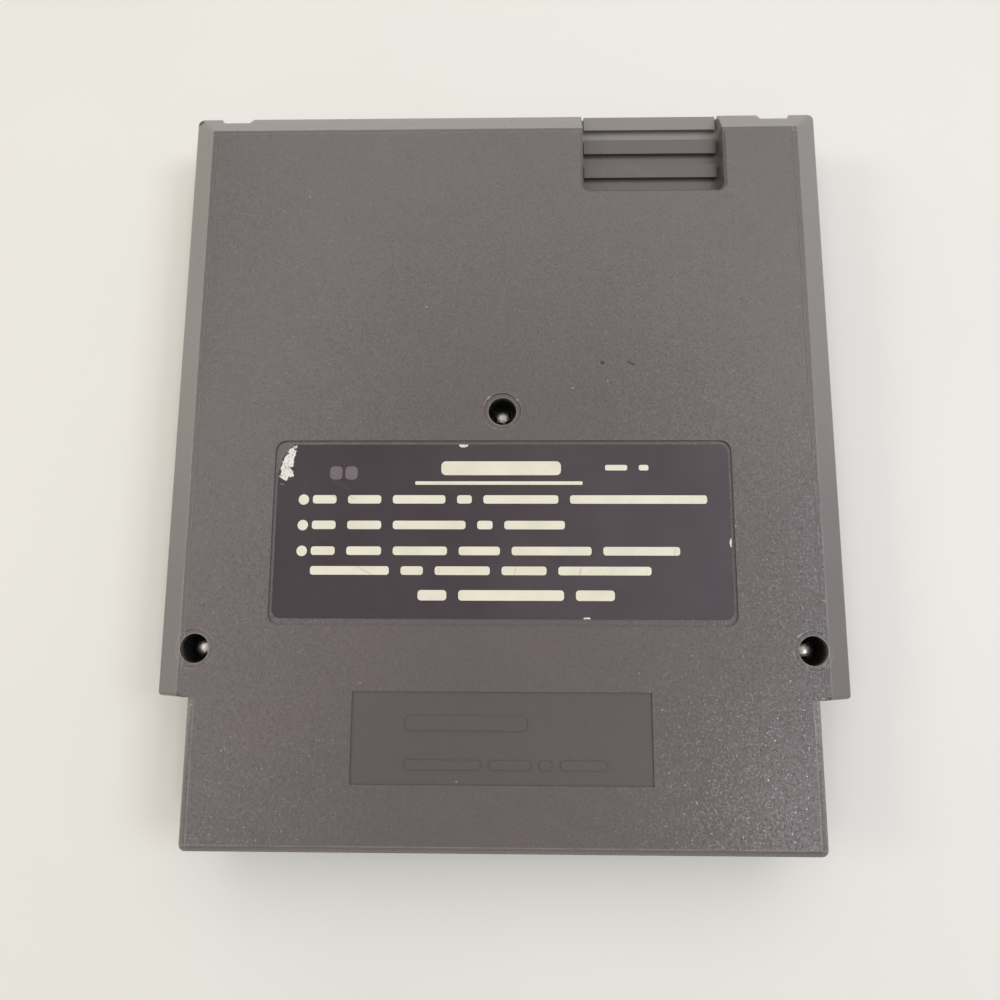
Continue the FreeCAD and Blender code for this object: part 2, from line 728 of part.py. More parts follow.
def front_tabs(body):
    """Two tabs that stand up from the top end into the rear half's notches."""
    tabs = new_sketch(body, "tabs_outline", "seam_height")
    for side in ("1", "-1"):
        outline(tabs, notch_corners(side, "tab_clearance", f"({TOP_END} - seam_groove)"))
    pad(body, "tabs", tabs, "tab_height")


def rear_label():
    """The sticker in its field, with one corner torn away."""
    body = new_body("rear_label")
    left = "(label_side_margin - field_width / 2)"
    right = "(field_width / 2 - label_side_margin)"
    bottom = f"({PLUG_END} + field_rise + label_bottom_margin)"
    top = f"({PLUG_END} + field_rise + field_height - label_top_margin)"
    sheet_outline = new_sketch(body, "label_outline", FIELD_FLOOR)
    outline(sheet_outline, [
        (left, bottom, "label_radius"),
        (right, bottom, "label_radius"),
        (right, top, "label_radius"),
        (f"({left} + tear_across)", top),
        (f"({left} + tear_across / 2 - tear_bite)", f"({top} - tear_along / 2 + tear_bite)"),
        (left, f"({top} - tear_along)"),
    ])
    pad(body, "label_sheet", sheet_outline, "label_thickness")
    return finish(body)


def case_screws():
    """The three screws that hold the halves together, all in one group."""
    screws = [one_screw(index, across, along) for index, (across, along) in enumerate(SCREWS, start=1)]
    group = doc.addObject("Part::Compound", "case_screws")
    group.Label = "case_screws"
    group.Links = screws
    doc.recompute()
    return finish(group)


def one_screw(index, across, along):
    """A turned screw that stands on the floor of its well."""
    body = new_body(f"case_screw_{index}")
    half = new_sketch(body, f"screw_profile_{index}", role="XZ_Plane")
    outline(half, [
        ("0", "-shank_length"),
        ("(shank_size / 2)", "-shank_length"),
        ("(shank_size / 2)", "0"),
        ("(head_size / 2)", "0"),
        ("(head_size / 2)", "head_height"),
        ("0", "head_height"),
    ])
    turn(body, f"screw_turned_{index}", half, "V_Axis")
    place(body, across, along, WELL_FLOOR)
    return body


def circuit_board():
    """The board, with a narrower tongue for the plug, bevelled edges and holes for the posts."""
    body = new_body("circuit_board")
    plan = new_sketch(body, "board_outline", BOARD_UNDER)
    outline(plan, tee(HALF_TONGUE, BOARD_EDGE, f"({BOARD_EDGE} + tongue_length)", HALF_BOARD, BOARD_END))
    pad(body, "board_sheet", plan, "board_thickness")
    chamfer(body, "plug_edge", "edge_bevel", on_plug_edge)
    hole = "(post_pin / cos(22.5) + 2 * pin_clearance)"
    holes = at_posts(body, "post_holes_outline", BOARD_TOP, circle, hole)
    pocket(body, "post_holes", holes, "board_thickness")
    room = at_screws(body, "boss_room_outline", BOARD_TOP, circle, "(boss_size + 2 * boss_clearance)")
    pocket(body, "boss_room", room, "board_thickness")
    return finish(body)


def on_plug_edge(edge):
    """Whether an edge runs along the front of the board's tongue."""
    box = edge.BoundBox
    front = measure(BOARD_EDGE)
    return abs(box.YMax - front) < 1e-4 and box.XLength > measure(HALF_TONGUE)


def edge_contacts():
    """Gold fingers, evenly spread on both faces of the tongue."""
    body = new_body("edge_contacts")
    left = f"(-{CONTACT_SPAN} / 2 - contact_width / 2)"
    finger = new_sketch(body, "contact_outline", "(board_thickness / 2)")
    outline(finger, rectangle(left, CONTACT_START, f"({left} + contact_width)",
                              f"({CONTACT_START} + contact_length)"))
    one = pad(body, "contact", finger, "contact_thickness")
    multiply(body, "contacts", one, (CONTACT_SPAN, "contact_count"), "XY_Plane")
    place(body, "0", "0", "seam_height")
    return finish(body)


def multiply(body, name, feature, row=None, role=None, axis="X_Axis"):
    """Copies of a feature in a row along an axis, and on the other side of an origin plane."""
    copies = body.newObject("PartDesign::MultiTransform", name)
    steps = []
    if row:
        line = body.newObject("PartDesign::LinearPattern", f"{name}_row")
        line.Direction = (origin_plane(body, axis), [""])
        bind(line, "Length", row[0])
        bind(line, "Occurrences", row[1])
        steps.append(line)
    if role:
        image = body.newObject("PartDesign::Mirrored", f"{name}_image")
        image.MirrorPlane = (origin_plane(body, role), [""])
        steps.append(image)
    copies.Originals = [feature]
    copies.Transformations = steps
    return settle(body, copies)


def chip(label, length, row, pins, across, along):
    """A moulded chip case with draft above and below its lead line, and its two rows of leads."""
    case = new_body(label)
    width = f"({row} - 2 * lead_reach)"
    low = "(chip_standoff + chip_height / 2 - lead_thickness / 2)"
    high = f"({low} + lead_thickness)"
    block = rectangle(f"-({length} / 2)", f"-({width} / 2)", f"({length} / 2)", f"({width} / 2)")
    small = rectangle(f"-({length} / 2 - chip_draft)", f"-({width} / 2 - chip_draft)",
                      f"({length} / 2 - chip_draft)", f"({width} / 2 - chip_draft)")
    band = new_sketch(case, f"{label}_band_outline", low)
    outline(band, block)
    pad(case, f"{label}_band", band, "lead_thickness")
    for end, start, stop in (("top", high, "(chip_standoff + chip_height)"), ("base", low, "chip_standoff")):
        wide = new_sketch(case, f"{label}_{end}_wide", start)
        outline(wide, block)
        narrow = new_sketch(case, f"{label}_{end}_narrow", stop)
        outline(narrow, small)
        loft(case, f"{label}_{end}", "AdditiveLoft", wide, narrow)
    notch = new_sketch(case, f"{label}_notch_outline", "(chip_standoff + chip_height)")
    circle(notch, f"(chip_draft - {length} / 2)", "0", "chip_notch")
    pocket(case, f"{label}_notch", notch, "chip_notch_depth")
    place(case, across, along, BOARD_TOP)
    finish(case)
    leads = new_body(f"{label}_leads")
    first = f"(-({pins} - 1) * lead_pitch / 2 - lead_width / 2)"
    inner = f"({width} / 2)"
    outer = f"({row} / 2 + lead_thickness / 2)"
    shin = f"({row} / 2 - lead_thickness / 2)"
    bend = new_sketch(leads, f"{label}_lead_profile", first, "YZ_Plane")
    outline(bend, [(inner, low), (shin, low), (shin, "0"), (outer, "0"), (outer, high), (inner, high)])
    lead = pad(leads, f"{label}_lead", bend, "lead_width")
    multiply(leads, f"{label}_lead_rows", lead, (f"({pins} - 1) * lead_pitch", pins), "XZ_Plane")
    place(leads, across, along, BOARD_TOP)
    return finish(leads)


def bent_wire(body, name, start, foot, height, aside):
    """A square wire that runs level from its part and then down to the board, set aside from the middle."""
    half = "(wire_size / 2)"
    bend = new_sketch(body, f"{name}_profile", f"({aside} - {half})", "XZ_Plane")
    outline(bend, [
        (f"({foot} - {half})", "0"),
        (f"({foot} + {half})", "0"),
        (f"({foot} + {half})", f"({height} - {half})"),
        (start, f"({height} - {half})"),
        (start, f"({height} + {half})"),
        (f"({foot} - {half})", f"({height} + {half})"),
    ])
    return pad(body, name, bend, "wire_size")


def smoothing_capacitor():
    """A capacitor can that lies on the board, and its two bent wires."""
    can = new_body("smoothing_capacitor")
    half = "(can_size / 2)"
    end = new_sketch(can, "can_outline", role="YZ_Plane")
    circle(end, "0", "0", "can_size")
    pad(can, "can", end, "can_length")
    place(can, "can_offset", LOCKOUT_ROW_MIDDLE, f"({BOARD_TOP} + {half})")
    finish(can)
    wires = new_body("smoothing_capacitor_leads")
    one = bent_wire(wires, "can_wire", "0", "-wire_reach", half, "(wire_spread / 2)")
    multiply(wires, "can_wires", one, role="XZ_Plane")
    place(wires, "can_offset", LOCKOUT_ROW_MIDDLE, BOARD_TOP)
    return finish(wires)


def resistors():
    """Two resistors side by side on the board, and their bent wires."""
    half = "(resistor_length / 2)"
    thick = "(resistor_size / 2)"
    pair = ("resistor_pitch", "2")
    along = f"({LOCKOUT_ROW_MIDDLE} - resistor_pitch / 2)"
    rods = new_body("resistors")
    end = new_sketch(rods, "resistor_outline", f"-{half}", "YZ_Plane")
    circle(end, "0", "0", "resistor_size")
    rod = pad(rods, "resistor", end, "resistor_length")
    multiply(rods, "resistor_pair", rod, pair, axis="Y_Axis")
    place(rods, "resistor_offset", along, f"({BOARD_TOP} + {thick})")
    finish(rods)
    wires = new_body("resistor_leads")
    wire = bent_wire(wires, "resistor_wire", f"-{half}", f"(-{half} - wire_reach)", thick, "0")
    multiply(wires, "resistor_wires", wire, pair, "YZ_Plane", "Y_Axis")
    place(wires, "resistor_offset", along, BOARD_TOP)
    return finish(wires)


def ceramic_capacitors():
    """Two small dipped capacitors that stand on the board on short straight wires."""
    blocks = new_body("ceramic_capacitors")
    plan = new_sketch(blocks, "block_outline", "block_lift")
    left = "(block_offset - block_width / 2)"
    right = "(block_offset + block_width / 2)"
    outline(plan, rectangle(left, "-(block_depth / 2)", right, "(block_depth / 2)"))
    block = pad(blocks, "block", plan, "block_height")
    multiply(blocks, "block_pair", block, role="YZ_Plane")
    place(blocks, "0", BLOCK_ROW_MIDDLE, BOARD_TOP)
    finish(blocks)
    wires = new_body("ceramic_capacitor_leads")
    ends = new_sketch(wires, "block_wires_outline")
    outline(ends, square("(block_offset - wire_spread / 2)", "0", "(wire_size / 2)"))
    outline(ends, square("(block_offset + wire_spread / 2)", "0", "(wire_size / 2)"))
    stubs = pad(wires, "block_wires", ends, "block_lift")
    multiply(wires, "block_wire_pairs", stubs, role="YZ_Plane")
    place(wires, "0", BLOCK_ROW_MIDDLE, BOARD_TOP)
    return finish(wires)


def solder(name, across, along, middle, row=None, role=None, axis="X_Axis"):
    """Solder joints under the board, copied as the leads above them are."""
    body = new_body(name)
    foot = new_sketch(body, f"{name}_foot", "(-board_thickness)")
    outline(foot, square(across, along, "(solder_width / 2)"))
    joint = pad(body, f"{name}_joint", foot, "solder_height", down=True)
    multiply(body, f"{name}_copies", joint, row, role, axis)
    place(body, middle[0], middle[1], BOARD_TOP)
    return body


def square(across, along, half):
    """The corners of a square round a point."""
    return rectangle(f"({across} - {half})", f"({along} - {half})",
                     f"({across} + {half})", f"({along} + {half})")


def solder_joints():
    """A joint under each lead and wire, all in one group."""
    memory = ("(memory_pins - 1) * lead_pitch", "memory_pins")
    lockout = ("(lockout_pins - 1) * lead_pitch", "lockout_pins")
    resistor_foot = "(-resistor_length / 2 - wire_reach)"
    resistor_row = f"({LOCKOUT_ROW_MIDDLE} - resistor_pitch / 2)"
    pair = ("wire_spread", "2")
    group = doc.addObject("Part::Compound", "solder_joints")
    group.Label = "solder_joints"
    group.Links = [
        solder("program_solder", f"(-{memory[0]} / 2)", "(memory_row / 2)",
               (f"-{MEMORY_MIDDLE}", MEMORY_ROW_MIDDLE), memory, "XZ_Plane"),
        solder("picture_solder", f"(-{memory[0]} / 2)", "(memory_row / 2)",
               (MEMORY_MIDDLE, MEMORY_ROW_MIDDLE), memory, "XZ_Plane"),
        solder("lockout_solder", f"(-{lockout[0]} / 2)", "(lockout_row / 2)",
               ("-lockout_offset", LOCKOUT_ROW_MIDDLE), lockout, "XZ_Plane"),
        solder("can_solder", "-wire_reach", "(wire_spread / 2)",
               ("can_offset", LOCKOUT_ROW_MIDDLE), None, "XZ_Plane"),
        solder("resistor_solder", resistor_foot, "0",
               ("resistor_offset", resistor_row), ("resistor_pitch", "2"), "YZ_Plane", "Y_Axis"),
        solder("block_solder", "(block_offset - wire_spread / 2)", "0",
               ("0", BLOCK_ROW_MIDDLE), pair, "YZ_Plane"),
    ]
    doc.recompute()
    return finish(group)


def main():
    """Build every sub-part in turn."""
    rear_shell()
    front_shell()
    rear_label()
    case_screws()
    circuit_board()
    edge_contacts()
    chip("program_chip", MEMORY_LENGTH, "memory_row", "memory_pins", f"-{MEMORY_MIDDLE}", MEMORY_ROW_MIDDLE)
    chip("picture_chip", MEMORY_LENGTH, "memory_row", "memory_pins", MEMORY_MIDDLE, MEMORY_ROW_MIDDLE)
    chip("lockout_chip", LOCKOUT_LENGTH, "lockout_row", "lockout_pins", "-lockout_offset", LOCKOUT_ROW_MIDDLE)
    smoothing_capacitor()
    resistors()
    ceramic_capacitors()
    solder_joints()


def check_and_export():
    """Stop if anything failed, then write each sub-part to its own file."""
    doc.recompute()
    for thing in doc.Objects:
        if "Invalid" in thing.State or "Error" in thing.State:
            raise RuntimeError(f"{thing.Name} failed")
    os.makedirs("parts", exist_ok=True)
    for thing in subparts:
        if thing.Shape.isNull() or not thing.Shape.isValid():
            raise RuntimeError(f"{thing.Label} has no valid shape")
        thing.Shape.exportStep(f"parts/{thing.Label}.step")
        print(thing.Label, len(thing.Shape.Solids), round(thing.Shape.Volume, 2), thing.Shape.BoundBox)


main()
check_and_export()
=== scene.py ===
import math

import bmesh
import bpy
from mathutils import Matrix, Vector


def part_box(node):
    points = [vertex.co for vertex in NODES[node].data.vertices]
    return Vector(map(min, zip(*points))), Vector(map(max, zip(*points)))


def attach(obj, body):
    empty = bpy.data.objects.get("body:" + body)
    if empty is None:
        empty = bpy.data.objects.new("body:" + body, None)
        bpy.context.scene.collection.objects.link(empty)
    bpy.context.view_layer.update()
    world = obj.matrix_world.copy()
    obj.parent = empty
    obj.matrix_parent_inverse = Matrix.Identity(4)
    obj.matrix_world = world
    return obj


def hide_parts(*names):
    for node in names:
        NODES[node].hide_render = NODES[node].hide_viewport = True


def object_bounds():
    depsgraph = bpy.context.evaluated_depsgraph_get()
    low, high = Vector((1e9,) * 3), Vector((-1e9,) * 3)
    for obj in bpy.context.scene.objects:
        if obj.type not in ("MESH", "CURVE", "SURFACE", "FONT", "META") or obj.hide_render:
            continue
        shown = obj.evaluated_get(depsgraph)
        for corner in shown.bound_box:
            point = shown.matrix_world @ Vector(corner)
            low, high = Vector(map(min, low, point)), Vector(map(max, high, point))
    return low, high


bl_info = {
    "name": "Game Cartridge Dressing",
    "version": (1, 0, 0),
    "blender": (4, 5, 0),
    "location": "3D View > Sidebar > Cartridge",
    "description": "Gives a packed game cartridge its plastic, sticker, screws, board finishes and studio",
    "category": "Object",
}

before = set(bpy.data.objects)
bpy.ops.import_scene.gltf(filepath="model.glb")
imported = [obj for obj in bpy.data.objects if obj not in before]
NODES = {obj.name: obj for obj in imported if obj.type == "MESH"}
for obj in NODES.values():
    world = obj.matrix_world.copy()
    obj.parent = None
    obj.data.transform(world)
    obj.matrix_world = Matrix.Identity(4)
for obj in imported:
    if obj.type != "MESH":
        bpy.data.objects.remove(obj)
CAD_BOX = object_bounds()
MM = 0.001

# Where the three screws stand and the height of their seats, in millimetres, and their turns in degrees
SCREW_PLACES = ((0.0, 7.5), (53.0, -34.5), (-53.0, -34.5))
SCREW_SEAT = 10.0
SCREW_TURNS = (12.0, 31.0, 48.0)

# Steps round a screw, its flutes, and the share of the radius left so many steps from a flute's middle
SCREW_STEPS = 48
FLUTES = 6
FLUTE_SHARES = (0.70, 0.76, 0.90)

# Places on the rear shell that its finish follows, in millimetres
SHOULDER = -42.7
RIM_SIDE = 55.7
RIM_END = 63.2
FACE_SIDE = 54.85
FACE_END = 62.35
PLUG_SIDE = 52.4
PLUG_END = -66.5
LINE_WIDTH = 0.10

# Wells of the screws, in millimetres: reach and top of their painted shade, and radii of the painted
# highlight rings round them
WELL_REACH = 2.9
WELL_TOP = 16.4
WELL_HIGHLIGHT_RINGS = (2.60, 3.42)

# Boxes round the sunk plate and the finger recess: middle and half width on each axis, in millimetres
PLATE_BOX = ((0.0, 25.6), (-49.1, 7.8), (16.0, 0.96))
RECESS_BOX = ((28.3, 13.4), (60.0, 9.8), (13.0, 3.5))
PLATE_DEPTH = 0.3

# Ragged patches: centre and half widths in millimetres, turn in degrees, raggedness
DARK_MARKS = (
    (18.05, 16.5, 17.0, 0.42, 0.34, 20.0, 0.7),
    (23.3, 16.3, 17.0, 0.85, 0.20, 28.0, 0.6),
    (-59.4, 66.6, 13.0, 0.9, 0.7, 30.0, 0.9),
)
SCUFFS = (
    (-2.45, 9.95, 17.0, 0.42, 0.18, -45.0, 1.6),
    (2.65, 9.55, 17.0, 0.28, 0.18, 30.0, 1.6),
    (50.75, -31.9, 17.0, 0.62, 0.16, -40.0, 1.6),
    (54.0, -42.4, 17.0, 0.40, 0.14, 0.0, 2.6),
)
TEARS = (
    (-38.2, -2.0, 16.75, 0.80, 3.2, 15.0, 2.6),
    (-38.5, -3.7, 16.75, 1.1, 1.3, 0.0, 2.6),
    (-6.95, 1.3, 16.75, 0.80, 0.42, 0.0, 0.9),
    (39.9, -16.1, 16.75, 0.32, 0.75, 0.0, 0.9),
    (14.7, -29.3, 16.75, 0.65, 0.32, 0.0, 1.0),
)
MARK_DEPTH = 4.0

# Pale bars of the sticker, in millimetres: left edge, middle height, bar thickness, bar lengths
PRINT_ROWS = (
    (-10.8, -2.9, 2.5, (21.2,)),
    (-15.4, -5.57, 0.62, (29.6,)),
    (18.2, -2.8, 1.0, (3.9, 1.7)),
    (-33.5, -8.5, 1.5, (4.2, 5.9, 9.3, 2.6, 13.2, 24.0)),
    (-33.5, -13.05, 1.5, (4.2, 6.0, 12.8, 2.7, 10.6)),
    (-33.5, -17.6, 1.5, (4.2, 6.1, 9.5, 7.2, 13.9, 13.3)),
    (-33.5, -21.05, 1.5, (13.8, 3.9, 9.6, 7.8, 16.1)),
    (-14.6, -25.3, 1.8, (5.0, 18.3, 6.7)),
)
STAMP_ROWS = ((-30.6, -3.75, 2.4, (2.2, 2.2)),)
PLATE_ROWS = (
    (-16.2, -46.7, 2.4, (20.5,)),
    (-16.25, -53.45, 1.5, (12.7, 6.85, 2.0, 7.7)),
)
PRINT_DOTS = ((-35.1, -8.55), (-35.1, -13.1), (-35.1, -17.65))

# Small parts on the board: material, nodes, colour setting, gain of the clouds, grain in metres, roughness
PART_FINISHES = (
    ("chip_epoxy", ("program_chip", "picture_chip", "lockout_chip"), "epoxy", 1.5, 0.00025, 0.52),
    ("lead_tin", tuple(name for name in NODES if name.endswith("_leads")), "tin", 0.8, 0.0003, 0.34),
    ("solder", ("solder_joints",), "solder", 0.75, 0.0006, 0.30),
    ("can_sleeve", ("smoothing_capacitor",), "sleeve", 1.3, 0.0008, 0.30),
    ("ceramic_dip", ("ceramic_capacitors",), "dip", 0.8, 0.0007, 0.28),
    ("resistor_lacquer", ("resistors",), "lacquer", 0.85, 0.0006, 0.35),
)
BARE_METALS = ("lead_tin", "solder")
COATS = {"can_sleeve": 0.3, "ceramic_dip": 0.4, "resistor_lacquer": 0.2}

# Lamps: name, place and size in metres, the power setting that drives it, its share of that power, colour
LAMPS = (
    ("right_lamp", (0.83, 0.06, 0.99), (0.40, 0.40), "right_power", 1.0, (0.80, 0.88, 1.0)),
    ("left_lamp", (-1.10, 0.10, 0.86), (0.35, 0.35), "left_power", 1.0, (1.0, 0.90, 0.74)),
    ("far_window", (0.0, 1.50, 0.33), (1.4, 0.5), "far_power", 1.0, (1.0, 0.99, 0.97)),
    ("left_wall", (-1.50, 0.0, 0.30), (1.2, 0.5), "wall_power", 0.45, (1.0, 0.94, 0.86)),
    ("right_wall", (1.50, 0.0, 0.30), (1.2, 0.5), "wall_power", 0.25, (0.95, 0.97, 1.0)),
    ("ceiling_far", (0.20, 1.10, 1.32), (1.7, 0.8), "ceiling_power", 4.0, (1.0, 0.98, 0.95)),
    ("left_panel", (-0.62, 0.25, 1.38), (1.2, 0.22), "ceiling_power", 1.8, (1.0, 0.95, 0.92)),
    ("right_panel", (0.55, 0.50, 1.38), (0.35, 0.35), "ceiling_power", 0.7, (1.0, 0.97, 0.96)),
    ("ceiling_right", (0.62, -0.42, 1.34), (0.10, 0.10), "ceiling_power", 1.5, (0.93, 0.94, 1.0)),
    ("ceiling_left", (-0.63, -0.43, 1.35), (0.10, 0.10), "ceiling_power", 0.5, (1.0, 0.95, 0.88)),
)
SKY_COLOUR = (1.0, 0.98, 0.945, 1.0)


def colour_property(label, words, value):
    """A colour that a user can change."""
    return bpy.props.FloatVectorProperty(
        name=label, description=words, subtype="COLOR", size=3, min=0.0, max=1.0, default=value)


def length_property(label, words, millimetres):
    """A length that a user can change, shown in the scene's units."""
    return bpy.props.FloatProperty(
        name=label, description=words, subtype="DISTANCE", unit="LENGTH", min=0.0, precision=6,
        default=millimetres * MM)


def share_property(label, words, value):
    """A share from none to all."""
    return bpy.props.FloatProperty(
        name=label, description=words, subtype="FACTOR", min=0.0, max=1.0, default=value)


def power_property(label, words, watts):
    """The power of a lamp."""
    return bpy.props.FloatProperty(name=label, description=words, unit="POWER", min=0.0, default=watts)


class CartridgeShellLook(bpy.types.PropertyGroup):
    """Look of the two plastic shells"""
    colour: colour_property("Shell colour", "Colour of the moulded plastic", (0.139, 0.116, 0.115))
    shade: colour_property("Shell shade", "Colour of its darker clouds", (0.129, 0.109, 0.108))
    # The grime colour is real dirt in the grain's hollows, and painted shade in the wells and the finger
    # recess
    grime_and_shade: colour_property("Grime colour", "Colour of dirt in wells and corners", (0.012, 0.011, 0.010))
    mark: colour_property("Mark colour", "Colour of the small dark marks", (0.025, 0.022, 0.021))
    # The speck colour is real dust and rubbing, and also paints the highlight lines, the plug edge's
    # highlight and the light on the rim
    speck: colour_property("Speck colour", "Colour of the pale specks", (0.42, 0.40, 0.38))
    grain_size: length_property("Grain size", "Width of one bump of the moulded grain", 0.42)
    grain_depth: length_property("Grain depth", "Height of the moulded grain", 0.03)
    facet_size: length_property("Facet size", "Width of the small facets that catch the light", 0.27)
    facet_lean: share_property("Facet lean", "How far the facets lean", 0.09)
    roughness: share_property("Roughness", "Roughness of the plastic", 0.28)
    glint: share_property("Glint", "How much smoother the few shining bumps are", 0.17)
    # Painted light: the sloped rim is painted paler, more so toward the top end
    near_rim_light: share_property("Near rim", "How pale the rim is by the shoulder", 0.12)
    far_rim_light: share_property("Far rim", "How pale the rim is at the top end", 0.45)
    # Painted highlight on the plug's eased edge
    plug_highlight: share_property("Plug wear", "How pale the eased edge of the plug is", 0.24)
    plug_ease: length_property("Plug easing", "Depth of the eased edge of the plug", 0.2)
    # Painted highlights on edges and round the wells, together with the real scuffs
    highlight_and_scuff: share_property("Line wear", "How pale the worn lines and scuffs are", 0.26)
    # Painted shade: how far the wells are darkened toward black
    well_shade: share_property("Well dirt", "How dark the wells are", 0.96)
    # Darkens the sunk plate, and paints shade into the finger recess
    sunk_darkening: share_property("Sunk dirt", "How much darker the sunk plate and recess are", 0.15)


class CartridgeStickerLook(bpy.types.PropertyGroup):
    """Look of the sticker and its print"""
    colour: colour_property("Sticker colour", "Dark ground of the sticker", (0.030, 0.019, 0.026))
    rubbed: colour_property("Rubbed colour", "Colour where the ground is rubbed", (0.085, 0.066, 0.074))
    stamp_colour: colour_property("Stamp colour", "Thin grey ink of the stamped blocks", (0.16, 0.13, 0.14))
    print_colour: colour_property("Print colour", "Pale ink of the bars and dots", (0.80, 0.76, 0.62))
    paper: colour_property("Paper colour", "Bare paper where the top layer is torn off", (0.80, 0.78, 0.72))
    word_gap: length_property("Bar gap", "Gap between two bars of a row", 2.05)
    stamp_gap: length_property("Stamp gap", "Gap between the two stamped blocks", 0.5)
    relief_gap: length_property("Relief gap", "Gap between two raised bars on the sunk plate", 1.55)
    relief_height: length_property("Relief height", "How far the raised bars stand off the plate", 0.22)
    dot_size: length_property("Dot size", "Diameter of the dots that start rows", 1.85)
    ink_height: length_property("Ink height", "How far the ink stands off the sticker", 0.02)


class CartridgeScrewLook(bpy.types.PropertyGroup):
    """Shape and look of the screws"""
    steel: colour_property("Steel colour", "Plated steel of the screws", (0.88, 0.85, 0.76))
    # Painted shade: the near-black colour of the heads lower down, in the shade of the wells
    shaded_steel: colour_property("Tarnish colour", "Dulled steel low on the heads", (0.06, 0.055, 0.045))
    shank: length_property("Shank radius", "Radius of the screw's shank", 1.15)
    flange: length_property("Flange radius", "Radius of the flange under the head", 2.2)
    head: length_property("Head radius", "Radius of the fluted head", 1.75)
    crown: length_property("Crown radius", "Radius of the rounded top", 1.05)


class CartridgeBoardLook(bpy.types.PropertyGroup):
    """Look of the circuit board and its parts"""
    laminate: colour_property("Board colour", "Coated laminate", (0.035, 0.115, 0.045))
    track: colour_property("Track colour", "Copper tracks seen through the coating", (0.070, 0.190, 0.070))
    gold: colour_property("Contact colour", "Gold of the edge contacts", (0.86, 0.60, 0.22))
    epoxy: colour_property("Chip colour", "Moulded chip cases", (0.020, 0.020, 0.022))
    tin: colour_property("Lead colour", "Tinned leads and wires", (0.62, 0.62, 0.60))
    solder: colour_property("Solder colour", "Solder joints", (0.55, 0.55, 0.54))
    sleeve: colour_property("Sleeve colour", "Sleeve of the capacitor can", (0.020, 0.035, 0.120))
    dip: colour_property("Dip colour", "Coating of the small capacitors", (0.52, 0.25, 0.05))
    lacquer: colour_property("Lacquer colour", "Bodies of the resistors", (0.60, 0.43, 0.25))


class CartridgeStageLook(bpy.types.PropertyGroup):
    """Floor, light and camera"""
    floor_colour: colour_property("Floor colour", "Pale floor", (0.81, 0.795, 0.75))
    floor_width: length_property("Floor width", "Width of the floor", 6000.0)
    floor_drop: length_property("Floor drop", "Gap under the cartridge", 0.05)
    far_light: share_property("Far light", "Strength of the room's light past the top end", 0.60)
    near_light: share_property("Near light", "Strength of the room's light past the plug end", 0.35)
    right_power: power_property("Right lamp", "Power of the lamp on the right", 4.4)
    left_power: power_property("Left lamp", "Power of the lamp on the left", 3.0)
    wall_power: power_property("Wall lamps", "Power that the wide low lamps at the sides share", 4.7)
    ceiling_power: power_property("Ceiling lamps", "Power that the lamps high above are set from", 1.2)
    far_power: power_property("Far lamp", "Power of the broad lamp past the top end", 1.0)
    view_pixels: bpy.props.FloatProperty(
        name="View length", description="Distance to the picture, in picture widths", min=0.1,
        default=0.76165)
    eye: bpy.props.FloatVectorProperty(
        name="Camera place", description="Where the camera stands", subtype="TRANSLATION", size=3,
        default=(0.002234, -0.029283, 0.149342))
    tilt: bpy.props.FloatVectorProperty(
        name="Camera tilt", description="Turns of the view about X, Y and Z", subtype="EULER", size=3,
        default=(-0.15471, -0.01961, -0.00377))


def put(tree, kind, inputs=None, **settings):
    """Add a node, set its options, and link or set each input by name or number."""
    node = tree.nodes.new(kind)
    for name, value in settings.items():
        setattr(node, name, value)
    for name, value in (inputs or {}).items():
        wire(tree, value, node.inputs[name])
    return node


def wire(tree, value, socket):
    """Link a socket to an input, or set the input to a plain value."""
    if isinstance(value, bpy.types.NodeSocket):
        tree.links.new(value, socket)
    else:
        socket.default_value = value


def calc(tree, operation, *values, clamp=False):
    """The result of one piece of arithmetic."""
    node = put(tree, "ShaderNodeMath", dict(enumerate(values)), operation=operation, use_clamp=clamp)
    return node.outputs[0]


def vector(tree, operation, *values):
    """The result of one piece of arithmetic on vectors."""
    return put(tree, "ShaderNodeVectorMath", dict(enumerate(values)), operation=operation).outputs[0]


def reach_of(tree, value):
    """The length of a vector."""
    return put(tree, "ShaderNodeVectorMath", {0: value}, operation="LENGTH").outputs["Value"]


def axes_of(tree, place):
    """The three parts of a place, by the names of the axes."""
    return put(tree, "ShaderNodeSeparateXYZ", {0: place}).outputs


def ramp(tree, value, low, high, start=0.0, finish=1.0):
    """A value taken smoothly from one range to another."""
    node = put(tree, "ShaderNodeMapRange", {
        "Value": value, "From Min": low, "From Max": high, "To Min": start, "To Max": finish,
    }, interpolation_type="SMOOTHSTEP")
    return node.outputs["Result"]


def tint(tree, factor, first, second):
    """A colour between two, by a mask."""
    node = put(tree, "ShaderNodeMix", data_type="RGBA")
    wire(tree, factor, node.inputs[0])
    wire(tree, opaque(first), node.inputs[6])
    wire(tree, opaque(second), node.inputs[7])
    return node.outputs[2]


def opaque(colour):
    """A colour as a node takes it, or a socket left as it is."""
    return colour if isinstance(colour, bpy.types.NodeSocket) else (*colour, 1.0)


def noise(tree, place, scale, detail=2.0, roughness=0.5):
    """Plain noise at a scale per metre."""
    node = put(tree, "ShaderNodeTexNoise", {
        "Vector": place, "Scale": scale, "Detail": detail, "Roughness": roughness,
    })
    return node.outputs["Fac"]


def stretch(tree, place, scale, turn=0.0, centre=(0.0, 0.0, 0.0)):
    """Coordinates measured from a centre, turned about Z and stretched."""
    moved = vector(tree, "SUBTRACT", place, centre)
    turned = put(tree, "ShaderNodeVectorRotate", {"Vector": moved, "Angle": turn}, rotation_type="Z_AXIS")
    return vector(tree, "MULTIPLY", turned.outputs[0], scale)


def cells_at(tree, place, scale, feature):
    """Cells of a pattern at a scale per metre."""
    return put(tree, "ShaderNodeTexVoronoi", {"Vector": place, "Scale": scale}, feature=feature).outputs


